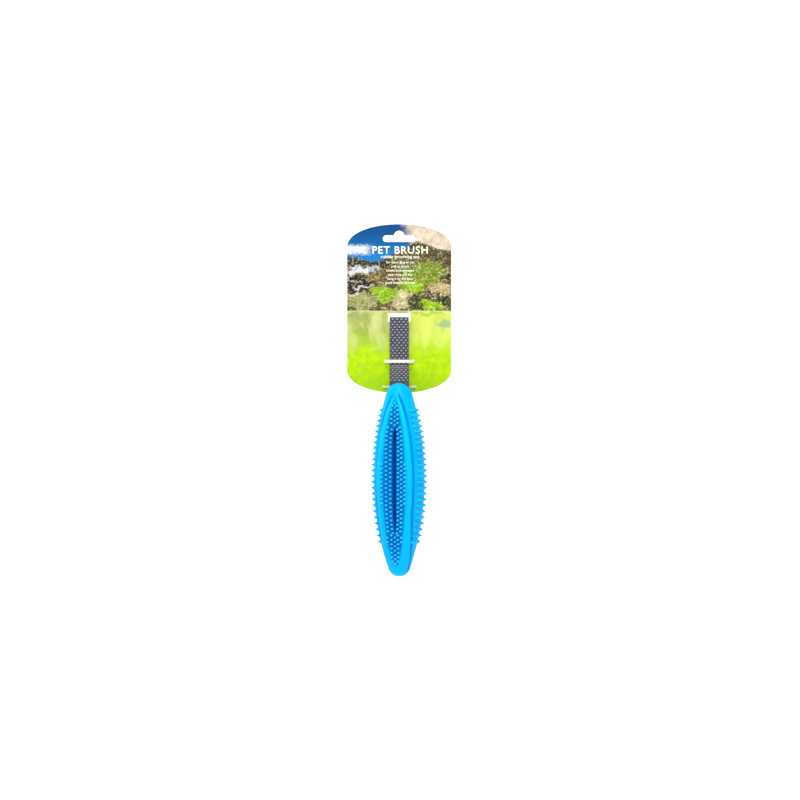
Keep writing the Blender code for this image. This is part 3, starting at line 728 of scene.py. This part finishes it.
# Words, size and height in millimetres; a style is the letters' thickening and their spacing
HEADING = (("PET BRUSH", 10.4, -22.8), ("rubber grooming toy", 4.3, -27.4))
SMALL_PRINT = ("for every dog or cat", "soft to touch", "combs and massages", "easy rinse and dry",
               "hang it by the loop", "good indoors and out")
SMALL_PRINT_SIZE = 3.2
SMALL_PRINT_TOP = -32.6
SMALL_PRINT_PITCH = 4.1
HEADING_STYLE = (0.14 * MM, 1.12)
SMALL_STYLE = (0.04 * MM, 1.05)
PRINT_SHIFT = 0.9 * MM
INK_HALF_DEPTH = 0.01 * MM
INK_LIFT = 0.03 * MM


def make_lettering():
    """Plain generic wording, laid on the print as a film of ink."""
    lines = list(HEADING)
    for row, words in enumerate(SMALL_PRINT):
        lines.append((words, SMALL_PRINT_SIZE, SMALL_PRINT_TOP - SMALL_PRINT_PITCH * row))
    ink = lettering_look()
    for row, (words, size, height) in enumerate(lines):
        text = bpy.data.curves.new("print_line", "FONT")
        text.body = words
        text.size = size * MM
        text.align_x = "CENTER"
        text.extrude = INK_HALF_DEPTH
        text.offset, text.space_character = HEADING_STYLE if row == 0 else SMALL_STYLE
        text.resolution_u = 3
        mesh = curve_mesh(text)
        mesh.transform(Matrix.Rotation(FRONT_VIEW[0], 4, "X"))
        place = (PRINT_SHIFT, -CARD_HALF_THICKNESS - INK_LIFT, height * MM)
        mesh.transform(Matrix.Translation(place))
        line = new_object(f"print_line_{row + 1}", mesh, ink)
        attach(line, "card")


# ---- Webbing

def lift_y(z, centre):
    progress = (LIFT_TOP - z) / (LIFT_TOP - SWING_POINT.z)
    return centre + (SWING_POINT.y - centre) * smoothstep(progress)


def upper_ply_centre(z):
    return lift_y(z, CARD_FACE - 1.5 * PLY)


def resample(path, step):
    """Points a fixed distance apart along a path of (depth, height)."""
    points = [np.array(point, float) for point in path]
    lengths = [0.0]
    for before, after in zip(points, points[1:]):
        lengths.append(lengths[-1] + float(np.linalg.norm(after - before)))
    count = max(int(lengths[-1] / step), 2)
    stations = np.linspace(0, lengths[-1], count + 1)
    stacked = np.array(points)
    depth = np.interp(stations, lengths, stacked[:, 0])
    height = np.interp(stations, lengths, stacked[:, 1])
    return stations, np.stack([depth, height], axis=1)


def weave(across, along):
    """Height, fleck and groove of the woven face at a point, in metres and shares; the groove share is
    painted shade in the weave's hollows.
    """
    row = round(along / ROW_PITCH)
    within = along - row * ROW_PITCH
    shift = 0.5 * (row % 2) * FLECK_PITCH
    column = (across - shift) / FLECK_PITCH
    sideways = (column - round(column)) * FLECK_PITCH
    fleck = math.exp(-(sideways / FLECK_WIDTH) ** 2 - (within / FLECK_HEIGHT) ** 2)
    rib = 0.5 + 0.5 * math.cos(2 * math.pi * within / ROW_PITCH)
    half_row = math.cos(4 * math.pi * within / ROW_PITCH)
    yarn = math.cos(2 * math.pi * across / YARN_PITCH + math.pi * row)
    edge = smoothstep((WEBBING_HALF_WIDTH - abs(across)) / SELVEDGE)
    groove = (1 - rib) ** 2 * (0.55 + 0.45 * yarn)
    height = 0.07 * rib + 0.03 * half_row + 0.035 * yarn + 0.10 * fleck
    return height * MM * (0.35 + 0.65 * edge), fleck * edge, groove


def make_strap(name, path, along_start, round_end):
    """A closed woven strip swept along a path of (depth, height) in the YZ plane."""
    stations, line = resample(path, WEAVE_STEP)
    tangents = np.gradient(line, axis=0)
    tangents /= np.linalg.norm(tangents, axis=1)[:, None]
    normals = np.stack([-tangents[:, 1], tangents[:, 0]], axis=1)
    columns = int(2 * WEBBING_HALF_WIDTH / WEAVE_STEP)
    inset = STRAP_THICKNESS / 2
    reach = WEBBING_HALF_WIDTH - 0.5 * inset
    acrosses = [(-1 + 2 * i / columns) * reach for i in range(columns + 1)]
    loop = [(across, 1) for across in acrosses]
    loop += [(WEBBING_HALF_WIDTH, SIDE_LEVEL), (WEBBING_HALF_WIDTH, -SIDE_LEVEL)]
    loop += [(across, -1) for across in reversed(acrosses)]
    loop += [(-WEBBING_HALF_WIDTH, -SIDE_LEVEL), (-WEBBING_HALF_WIDTH, SIDE_LEVEL)]
    points = []
    flecks = []
    grooves = []
    last = len(stations) - 1
    for index, station in enumerate(stations):
        squeeze = 1.0
        remaining = (stations[last] - station) / inset
        if round_end and remaining < 1:
            squeeze = math.sqrt(max(1 - (1 - remaining) ** 2, 0.04))
        for across, level in loop:
            lift, fleck, groove = weave(across, along_start + station)
            half = (inset + (lift if abs(level) == 1 else 0)) * level * squeeze
            depth, height = line[index] + normals[index] * half
            points.append((across, depth, height))
            flecks.append(fleck if abs(level) == 1 else 0)
            # Painted shade share: the weave's hollows on the faces, a fixed share on the strap's sides
            grooves.append(groove if abs(level) == 1 else 0.55)
    size = len(loop)
    faces = skin_faces(last + 1, size)
    faces.append(tuple(range(size)))
    faces.append(tuple(last * size + index for index in range(size)))
    mesh = mesh_from(name, points, faces)
    add_attributes(mesh, {"fleck": flecks, "groove": grooves})
    outward(mesh, merge=False)
    return mesh


def path_over_card(radius, steps):
    path = [(radius, SEAM_Z)] + arc_points((0, FOLD_Z), radius, 0, 180, steps)
    return path + [(-radius, z) for z in spaced(FOLD_Z, LIFT_TOP, 8)[1:]]


def front_ply_path():
    path = path_over_card(1.5 * PLY + GAP + CARD_HALF_THICKNESS, 24)
    path += [(upper_ply_centre(z), z) for z in spaced(LIFT_TOP, SWING_POINT.z, 60)[1:]]
    return path + [(SWING_POINT.y, SWING_POINT.z - STRAP_THICKNESS / 2)]


def back_ply_path():
    inner = 0.5 * PLY + GAP + CARD_HALF_THICKNESS
    lift = lift_y(FORK_Z, CARD_FACE) - CARD_FACE
    path = path_over_card(inner, 16)
    path += [(lift_y(z, CARD_FACE) - PLY / 2, z) for z in spaced(LIFT_TOP, FORK_Z, 16)[1:]]
    for z in spaced(FORK_Z, FREE_END_FLAT_Z, 24)[1:]:
        settle = 1 - smoothstep((FORK_Z - z) / (FORK_Z - FREE_END_FLAT_Z))
        path.append((-inner + lift * settle, z))
    return path + [(-inner, FREE_END_Z)]


def loop_tail_path():
    """Down the back of the card, round the open end and up again."""
    end_radius = PLY / 2 + LOOP_BULGE / 2
    centre = (LOOP_BULGE / 2, -LOOP_LENGTH + end_radius + PLY / 2)
    top = SEAM_Z - LOOP_HINGE.z

    def bulge(distance):
        return LOOP_BULGE * smoothstep((distance - LOOP_SPLIT) / (LOOP_LENGTH - LOOP_SPLIT) * 1.5)

    path = [(-PLY / 2, z) for z in spaced(top, centre[1], 40)]
    path += arc_points(centre, end_radius, 180, 360, 32)[1:]
    path += [(PLY / 2 + bulge(-z), z) for z in spaced(centre[1], top, 60)[1:]]
    placed = []
    for depth, height in path:
        lean = LOOP_LEAN * smoothstep(-height / (6 * MM))
        placed.append((LOOP_HINGE.y + depth * math.cos(lean) - height * math.sin(lean),
                       LOOP_HINGE.z + depth * math.sin(lean) + height * math.cos(lean)))
    return placed


def anchor_path():
    radius = PIN_RADIUS + GAP + PLY / 2
    meet = math.degrees(math.asin(PLY / 2 / radius))
    top = -SWING_CLEARANCE - ANCHOR_CLEARANCE
    eye = arc_points((0, -PIN_DEPTH), radius, 90 + meet, 450 - meet, 40)
    return [(-PLY / 2, z) for z in spaced(top, eye[0][1], 20)[:-1]] + eye + [(PLY / 2, top)]


def turn_to_brush(mesh):
    """Twist the strap below the fork so that its end lies square in the brush's mouth."""
    for vertex in mesh.vertices:
        share = smoothstep((FORK_Z - vertex.co.z) / (FORK_Z - SWING_POINT.z))
        offset = Vector((vertex.co.x - SWING_POINT.x, vertex.co.y - SWING_POINT.y))
        offset.rotate(Matrix.Rotation(BRUSH_TWIST * share, 2))
        vertex.co.x = SWING_POINT.x + offset.x
        vertex.co.y = SWING_POINT.y + offset.y


def make_webbing():
    cloth = webbing_look()

    def strap(name, path, along_start=0.0, round_end=False):
        return new_object(name, make_strap(name, path, along_start, round_end), cloth)

    front = strap("webbing_front", front_ply_path(), round_end=True)
    turn_to_brush(front.data)
    back = strap("webbing_back", back_ply_path(), 1.3 * MM)
    tail = strap("hand_loop", loop_tail_path(), 0.6 * MM)
    anchor = strap("pocket_webbing", anchor_path())
    anchor.data.transform(BRUSH_FRAME)
    for piece in (front, back, tail, anchor):
        smoothed(piece, 60)
    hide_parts("webbing_run", "webbing_neck")
    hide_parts("hand_loop_end")
    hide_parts("webbing_anchor")
    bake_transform(front)
    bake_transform(tail)
    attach(back, "card")
    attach(anchor, "brush")


def ply_front(z):
    step = 0.1 * MM
    slope = (upper_ply_centre(z + step) - upper_ply_centre(z - step)) / (2 * step)
    return upper_ply_centre(z) - PLY / 2 * math.hypot(1, slope)


def make_tack():
    """Two straight rows of stitches with a zigzag between them."""
    curve = bpy.data.curves.new("loop_stitching", "CURVE")
    curve.dimensions = "3D"
    curve.bevel_depth = THREAD_RADIUS
    curve.bevel_resolution = 2
    curve.use_fill_caps = True

    def thread(points):
        spline = curve.splines.new("POLY")
        spline.points.add(len(points) - 1)
        for target, (x, z, sink) in zip(spline.points, points):
            target.co = (x, ply_front(z) - (0.22 - sink) * MM, z, 1)

    stitch = ((0.1, 0.35), (0.3, 0), (0.7, 0), (0.9, 0.35))
    for z in TACK_ROWS:
        x = -TACK_HALF_WIDTH
        while x < TACK_HALF_WIDTH - TACK_STITCH / 2:
            thread([(x + part * TACK_STITCH, z, sink) for part, sink in stitch])
            x += TACK_STITCH
    zigzag = []
    for index in range(TACK_STROKES + 1):
        x = -TACK_HALF_WIDTH + 2 * TACK_HALF_WIDTH * index / TACK_STROKES
        top, bottom = TACK_ROWS
        zigzag.append((x, (top if index % 2 else bottom), 0.2))
    thread(zigzag)
    mesh = curve_mesh(curve)
    outward(mesh)
    tack = smoothed(new_object("loop_stitching", mesh, thread_look()), 50)
    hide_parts("bar_tack")
    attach(tack, "card")


# ---- Ties

def rounded_path(corners, radius, steps=6):
    points = []
    count = len(corners)
    for index in range(count):
        here = Vector(corners[index])
        before = Vector(corners[index - 1])
        after = Vector(corners[(index + 1) % count])
        entry = here + (before - here).normalized() * radius
        leave = here + (after - here).normalized() * radius
        for step in range(steps + 1):
            blend = step / steps
            points.append(entry.lerp(here, blend).lerp(here.lerp(leave, blend), blend))
    return points


def make_tie(name, height, half_span, width, webbing_front, nylon):
    front_y = webbing_front - GAP - TIE_THICKNESS / 2
    back_y = CARD_HALF_THICKNESS + GAP + TIE_THICKNESS / 2
    shoulder = WEBBING_HALF_WIDTH + TIE_SHOULDER
    knee_y = max(CARD_FACE - TIE_THICKNESS, front_y)
    corners = [(-shoulder, front_y), (shoulder, front_y), (half_span, knee_y), (half_span, back_y),
               (-half_span, back_y), (-half_span, knee_y)]
    path = rounded_path(corners, TIE_BEND)
    section = rounded_box((0, 0), (TIE_THICKNESS / 2, width / 2), TIE_CORNER, 4)
    count = len(path)
    points = []
    for index in range(count):
        along = (path[(index + 1) % count] - path[index - 1]).normalized()
        normal = Vector((along.y, -along.x))
        for outward_by, up in section:
            spot = path[index] + normal * outward_by
            points.append((spot.x, spot.y, height + up))
    band_mesh = mesh_from(name, points, skin_faces(count, len(section), closed=True))
    outward(band_mesh)
    band = new_object(name + "_band", band_mesh, nylon)
    combine(band, [("UNION", make_tie_head(name, height, nylon))])
    smoothed(band, 32)
    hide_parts(name)
    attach(band, "card")


def rounded_block(name, size, corner, segments):
    mesh = bpy.data.meshes.new(name)
    work = bmesh.new()
    bmesh.ops.create_cube(work, size=1, matrix=Matrix.Diagonal((*size, 1)))
    bmesh.ops.bevel(work, geom=work.edges[:], offset=corner, segments=segments, profile=0.6,
                    affect="EDGES")
    work.to_mesh(mesh)
    work.free()
    return mesh


def make_tie_head(name, height, nylon):
    """The lock: a rounded box with the cut tail standing out of it."""
    x = WEBBING_HALF_WIDTH + TIE_HEAD_OFFSET + TIE_HEAD.x / 2
    back_y = CARD_HALF_THICKNESS + GAP
    lock_place = (x, back_y + (TIE_HEAD.y - TIE_LOCK_RECESS) / 2, height)
    lock_mesh = rounded_block(name + "_lock", TIE_LOCK, TIE_LOCK_CORNER, 4)
    lock = new_object(name + "_lock", lock_mesh, nylon, Matrix.Translation(lock_place))
    stub_place = (x + TIE_STUB_SHIFT, back_y + TIE_HEAD.y - TIE_STUB[1] / 2, height)
    stub_mesh = rounded_block(name + "_stub", TIE_STUB, TIE_STUB_CORNER, 3)
    stub = new_object(name + "_stub", stub_mesh, nylon, Matrix.Translation(stub_place))
    combine(lock, [("UNION", stub)])
    return lock


# ---- Rubber brush, in its own frame: origin at the swing point, front towards -Y

def tip_radius(arc):
    offset = arc - BRUSH_RADIUS
    numerator = arc ** 2 - offset ** 2 - BRUSH_HALF_LENGTH ** 2
    return numerator / (2 * (arc - BRUSH_HALF_LENGTH))


def body_radius(z):
    arc = UPPER_ARC if z >= 0 else LOWER_ARC
    ball = tip_radius(arc)
    ball_centre = BRUSH_HALF_LENGTH - ball
    tangent = ball_centre * arc / (arc - ball)
    height = min(abs(z), BRUSH_HALF_LENGTH)
    if height < tangent:
        return BRUSH_RADIUS - arc + math.sqrt(arc ** 2 - height ** 2)
    return math.sqrt(max(ball ** 2 - (height - ball_centre) ** 2, 0))


def trough_fade(z):
    end = TROUGH_TOP if z >= 0 else TROUGH_BOTTOM
    return max(1 - (z / end) ** 2, 0)


def trough_width(z):
    end = TROUGH_TOP if z >= 0 else TROUGH_BOTTOM
    power = 0.8 if z >= 0 else 0.62
    return max(TROUGH_HALF_WIDTH * max(1 - abs(z / end) ** 1.9, 0) ** power, TROUGH_END_HALF_WIDTH)


def groove_angle(z):
    if z >= 0:
        closeness = max((PANEL_TOP - z) / PANEL_TOP, 0)
        return GROOVE_ANGLE * math.tanh(2.2 * closeness ** 0.65) / math.tanh(2.2)
    spread = max((GROOVE_SPREAD_START - z) / (BRUSH_HALF_LENGTH + GROOVE_SPREAD_START), 0)
    return GROOVE_ANGLE + GROOVE_SPREAD * min(spread, 1) ** 1.6


def groove_place(z):
    """Half width of the groove and its middle, as angles, clear of the trough and the flank."""
    lip = min(GROOVE_HALF_WIDTH / body_radius(z), GROOVE_LARGEST_LIP)
    nearest = trough_width(z) / body_radius(z) + 2.4 * lip
    return lip, min(max(groove_angle(z), nearest), math.pi / 2 - 2 * lip)


def groove_fade(z):
    return smoothstep((PANEL_TOP - z) / (6 * MM)) * smoothstep((z + 94 * MM) / (5 * MM))


def well_half_width(z):
    along = abs(z - WELL_CENTRE) / WELL_HALF_LENGTH
    power = 7.0 if z > WELL_CENTRE else 2.4
    return WELL_HALF_WIDTH * math.sqrt(max(1 - along ** power, 0))


def floor_point(z):
    half = min(well_half_width(z) + FLOOR_MARGIN, 0.6 * trough_width(z))
    return half, body_radius(z) - TROUGH_DEPTH * trough_fade(z) ** 0.8


def quadrant(z):
    """Section points (sideways, forward) from the panel's middle round to the flank."""
    radius = body_radius(z)
    half_floor, floor_radius = floor_point(z)
    edge = trough_width(z) / radius
    lip, groove = groove_place(z)
    rim = groove - lip - edge
    lift = RIM_HEIGHT * min(trough_fade(z) * 4, 1)
    points = [(half_floor * part, floor_radius) for part in (0, 0.5)]
    rise = -0.3 * lift
    top = Vector(((radius + rise) * math.sin(edge), (radius + rise) * math.cos(edge)))
    foot = Vector((half_floor, floor_radius))
    points += [tuple(foot.lerp(top, part)) for part in spaced(0, 1, 9)[:-1]]
    polar = []
    for part in spaced(0, 1, 11)[:-1]:
        bead = math.sin(math.pi * (part * 0.92 + 0.04)) ** 0.55
        polar.append((edge + rim * part, lift * (1.35 * bead - 0.3 * (1 - part))))
    for part in spaced(-1, 1, 10)[:-1]:
        dip = (0.5 + 0.5 * math.cos(math.pi * part)) ** 0.8
        polar.append((groove + lip * part, -GROOVE_DEPTH * dip * groove_fade(z)))
    last = groove + lip
    polar += [(last + (math.pi / 2 - last) * part, 0) for part in spaced(0, 1, 10)]
    for angle, out in polar:
        points.append(((radius + out) * math.sin(angle), (radius + out) * math.cos(angle)))
    return points


def body_section(z):
    one = quadrant(z)
    half = one + [(x, -y) for x, y in reversed(one[:-1])]
    ring = half + [(-x, y) for x, y in reversed(half[1:-1])]
    return [(x, -forward, z + BRUSH_CENTRE) for x, forward in ring]


def make_body():
    last = BRUSH_HALF_LENGTH - TIP_FLAT
    heights = [-last]
    for index in range(1, BODY_RINGS):
        angle = math.pi / 2 * (2 * index / BODY_RINGS - 1)
        even = BRUSH_HALF_LENGTH * (2 * index / BODY_RINGS - 1)
        heights.append(0.45 * BRUSH_HALF_LENGTH * math.sin(angle) + 0.55 * even)
    sections = [body_section(z) for z in heights + [last]]
    size = len(sections[0])
    points = [point for section in sections for point in section]
    faces = skin_faces(len(sections), size)
    faces.append(tuple(reversed(range(size))))
    faces.append(tuple((len(sections) - 1) * size + index for index in range(size)))
    return mesh_from("rubber_body", points, faces)


def wall_point(z, distance):
    half_floor, floor_radius = floor_point(z)
    edge = trough_width(z) / body_radius(z)
    foot = Vector((half_floor, floor_radius))
    top = Vector((math.sin(edge), math.cos(edge))) * body_radius(z)
    wall = top - foot
    along = (distance - half_floor) / max(wall.x, 0.1 * MM)
    if distance <= half_floor:
        return Vector((distance, floor_radius)), Vector((0, 1))
    return foot + wall * along, Vector((-wall.y, wall.x)).normalized()


def peg_places():
    """Staggered pegs (distance from the floor's middle, height), clear of the well and the rim."""
    places = []
    row = 0
    z = PEG_BOTTOM
    while z < PEG_TOP:
        reach = trough_width(z) - PEG_RIM_MARGIN
        inner = max(well_half_width(z + nearby) for nearby in (-PEG_RADIUS, 0, PEG_RADIUS))
        first = inner + PEG_RADIUS + PEG_WELL_MARGIN if inner > 0 else 0
        spacing = PEG_COLUMN if inner > 0 else min(PEG_COLUMN, reach)
        column = row % 2
        while first + column * spacing <= reach:
            distance = first + column * spacing
            if distance == 0 or distance > PEG_RADIUS + GAP:
                places.append((distance, z))
            column += 2
        row += 1
        z += PEG_PITCH / 2
    return places


def spike_places():
    """Rows of spikes (distance around the body from the flank's middle, height)."""
    places = []
    for row in range(SPIKE_ROWS):
        z = SPIKE_TOP - row * (SPIKE_PITCH + row * SPIKE_PITCH_GROWTH)
        places += [(column * SPIKE_COLUMN, z) for column in (-2, -1, 0, 1, 2)]
    return places


def peg_lean(normal, distance):
    """Sideways part of a peg's direction: along the wall's normal, but short of the middle plane."""
    return min(-normal.x, max(distance - PEG_RADIUS, 0) / PEG_HEIGHT)


# Radius and height of each ring, in millimetres
PEG_PROFILE = ((1.5, -0.6), (1.38, 0.0), (1.22, 0.35), (1.14, 1.4), (1.06, 2.3), (0.86, 2.74),
               (0.5, 2.95), (0.14, 3.0))
SPIKE_PROFILE = ((2.15, -0.6), (1.85, 0.0), (1.4, 0.55), (0.95, 1.5), (0.5, 2.5), (0.24, 2.95),
                 (0.08, 3.1))


def add_turned(points, faces, base, direction, profile):
    """One small turned boss, its foot sunk below the surface."""
    turn = direction.to_track_quat("Z", "Y").to_matrix()
    start = len(points)
    for radius, height in profile:
        for side in range(BOSS_SIDES):
            angle = 2 * math.pi * side / BOSS_SIDES + BOSS_SPIN
            spot = Vector((radius * math.cos(angle), radius * math.sin(angle), height)) * MM
            points.append(base + turn @ spot)
    faces += skin_faces(len(profile), BOSS_SIDES, start)
    faces.append(tuple(start + side for side in reversed(range(BOSS_SIDES))))
    top = start + (len(profile) - 1) * BOSS_SIDES
    faces.append(tuple(top + side for side in range(BOSS_SIDES)))


def make_bosses():
    points = []
    faces = []
    for distance, z in peg_places():
        point, normal = wall_point(z, distance)
        lean = peg_lean(normal, distance)
        forward = math.sqrt(1 - lean ** 2)
        for side in ((1,) if distance == 0 else (-1, 1)):
            for face in (-1, 1):
                base = Vector((side * point.x, face * point.y, z + BRUSH_CENTRE))
                direction = Vector((-side * lean, face * forward, 0))
                add_turned(points, faces, base, direction, PEG_PROFILE)
    for around, z in spike_places():
        radius = body_radius(z)
        for side in (-1, 1):
            direction = Vector((side * math.cos(around / radius), math.sin(around / radius), 0))
            base = direction * radius + Vector((0, 0, z + BRUSH_CENTRE))
            add_turned(points, faces, base, direction, SPIKE_PROFILE)
    return mesh_from("bosses", points, faces)


def keyhole_outline(half_gap, bulb_radius, top):
    meet = math.degrees(math.asin(half_gap / bulb_radius))
    bulb = arc_points((0, -PIN_DEPTH), bulb_radius, 90 + meet, 450 - meet, 40)
    return [(half_gap, top), (-half_gap, top)] + bulb


def make_wells():
    heights = spaced(WELL_CENTRE - WELL_HALF_LENGTH, WELL_CENTRE + WELL_HALF_LENGTH, 64)
    right = [(max(well_half_width(z), 0.12 * MM), z + BRUSH_CENTRE) for z in heights]
    outline = right + [(-x, z) for x, z in reversed(right)]
    depth = BRUSH_RADIUS + 5 * MM - WELL_FLOOR_RADIUS
    wells = []
    for side in (-1, 1):
        mesh = flat_solid("well", [outline], depth / 2, FRONT_VIEW)
        mesh.transform(Matrix.Translation((0, side * (WELL_FLOOR_RADIUS + depth / 2), 0)))
        wells.append(mesh)
    return wells


def make_brush():
    brush = new_object("rubber_body", make_body())
    keyhole = keyhole_outline(POCKET_HALF_GAP, POCKET_BULB_RADIUS, 3 * MM)
    cutters = make_wells() + [flat_solid("pocket", [keyhole], POCKET_HALF_WIDTH, SIDE_VIEW)]
    steps = [("DIFFERENCE", mesh) for mesh in cutters] + [("UNION", make_bosses())]
    tools = [(operation, new_object("helper", mesh)) for operation, mesh in steps]
    combine(brush, tools, "MANIFOLD")
    store_shares(brush.data)
    brush.data.materials.clear()
    brush.data.materials.append(rubber_look())
    brush.data.transform(BRUSH_FRAME)
    smoothed(brush, 38)
    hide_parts("rubber_brush")
    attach(brush, "brush")


def surface_shares(x, y, z):
    """Shares of a point's painted light: highlights on boss tips, shade in valleys between pegs,
    highlights on rim crests and shade in side channels.
    """
    side = abs(x)
    forward = abs(y)
    radius = body_radius(z)
    edge = trough_width(z)
    around = math.atan2(side, forward) * radius
    if around < edge:
        point, normal = wall_point(z, side)
        above = (forward - point.y) * normal.y
        tip_highlight = min(max((above - PEG_TIP_START) / (PEG_HEIGHT - PEG_TIP_START), 0), 1)
        valley_shade = smoothstep((edge - around) / VALLEY_FADE) * (1 - min(max(above / MM, 0), 1))
        return tip_highlight, valley_shade * min(trough_fade(z) * 2.5, 1), 0, 0
    above = math.hypot(x, y) - radius
    tip_highlight = min(max((above - SPIKE_TIP_START) / (SPIKE_HEIGHT - SPIKE_TIP_START), 0), 1)
    lip, groove = groove_place(z)
    rim = max((groove - lip) * radius - edge, MM)
    crest_highlight = math.sin(math.pi * min(max((around - edge) / rim, 0), 1)) ** 1.6
    low_end = smoothstep((z + BRUSH_HALF_LENGTH) / (2 * PANEL_TOP))
    crest_highlight *= smoothstep((PANEL_TOP - z) / CREST_FADE) * low_end
    channel_shade = smoothstep(1.6 - abs(around / radius - groove) / lip)
    return tip_highlight, 0, crest_highlight * (1 - channel_shade), channel_shade * groove_fade(z)


def store_shares(mesh):
    shares = [surface_shares(v.co.x, v.co.y, v.co.z - BRUSH_CENTRE) for v in mesh.vertices]
    add_attributes(mesh, dict(zip(("tip_highlight", "valley_shade", "crest_highlight", "channel_shade"), zip(*shares))))


def dress_pin():
    """The pin keeps its turned shape and takes a moulded plastic finish."""
    pin = frame["nodes"]["anchor_pin"]
    finish = nylon_look("natural_plastic", "cfccc2", "bdb9ad")
    pin.data.materials.clear()
    pin.data.materials.append(finish)


# ---- Stage, light and camera

def make_stage():
    """A seamless pale sweep: floor, bend and wall."""
    bend_y = WALL_Y - SWEEP_BEND
    profile = [(FLOOR_FRONT_Y, FLOOR_Z), (bend_y, FLOOR_Z)]
    for angle in spaced(0, math.pi / 2, 16)[1:]:
        rise = FLOOR_Z + SWEEP_BEND - SWEEP_BEND * math.cos(angle)
        profile.append((bend_y + SWEEP_BEND * math.sin(angle), rise))
    profile += [(WALL_Y, WALL_TOP)]
    points = [(side * SWEEP_HALF_WIDTH, y, z) for y, z in profile for side in (-1, 1)]
    faces = [(2 * i, 2 * i + 1, 2 * i + 3, 2 * i + 2) for i in range(len(profile) - 1)]
    sweep = Look("pale_sweep", "fbfbfb", 0.9)
    sweep.set("Emission Color", (1, 1, 1, 1))
    sweep.set("Emission Strength", SWEEP_GLOW)
    floor = new_object("sweep", mesh_from("sweep", points, faces), sweep.material)
    floor.data.shade_smooth()


def add_light(name, energy, size, location):
    data = bpy.data.lights.new(name, "AREA")
    data.energy = energy
    data.shape = "RECTANGLE"
    data.size, data.size_y = size
    light = bpy.data.objects.new(name, data)
    bpy.context.scene.collection.objects.link(light)
    light.location = location
    light.rotation_euler = (Vector(LIGHT_AIM) - Vector(location)).to_track_quat("-Z", "Y").to_euler()


def make_lights():
    world = bpy.data.worlds.new("studio")
    bpy.context.scene.world = world
    world.use_nodes = True
    background = world.node_tree.nodes["Background"]
    background.inputs["Color"].default_value = (1, 1, 1, 1)
    background.inputs["Strength"].default_value = WORLD_LIGHT
    for name, (energy, size, location) in LIGHTS.items():
        add_light(name, energy, size, location)


def make_camera():
    middle = (CAD_LOW + CAD_HIGH) / 2
    aim = Vector((CAMERA_AIM_X, 0, middle.z))
    data = bpy.data.cameras.new("camera")
    data.sensor_width = SENSOR_WIDTH
    data.lens = SENSOR_WIDTH * CAMERA_DISTANCE / VIEW_WIDTH
    data.clip_end = 100
    camera = bpy.data.objects.new("camera", data)
    bpy.context.scene.collection.objects.link(camera)
    outward_way = Vector((0, -math.cos(CAMERA_ELEVATION), math.sin(CAMERA_ELEVATION)))
    camera.location = aim + outward_way * CAMERA_DISTANCE
    camera.rotation_euler = (math.radians(90) - CAMERA_ELEVATION, 0, 0)
    bpy.context.scene.camera = camera


make_camera()
make_lights()
make_stage()
bpy.context.scene.view_settings.view_transform = "Standard"
make_card()
make_lettering()
make_webbing()
make_tack()
make_tie("upper_tie", UPPER_TIE_Z, UPPER_TIE_HALF_SPAN, UPPER_TIE_WIDTH, CARD_FACE - 2 * PLY,
         nylon_look("white_nylon", "f6f5ec", "e6e4d6"))
# Painted shade: the lower tie is the upper tie's white nylon, tinted darker and beige for the brush's
# shadow over it
make_tie("lower_tie", LOWER_TIE_Z, LOWER_TIE_HALF_SPAN, LOWER_TIE_WIDTH, CARD_FACE - PLY,
         nylon_look("nylon_in_painted_shade", "d0d2b0", "bcbf98"))
make_brush()
dress_pin()
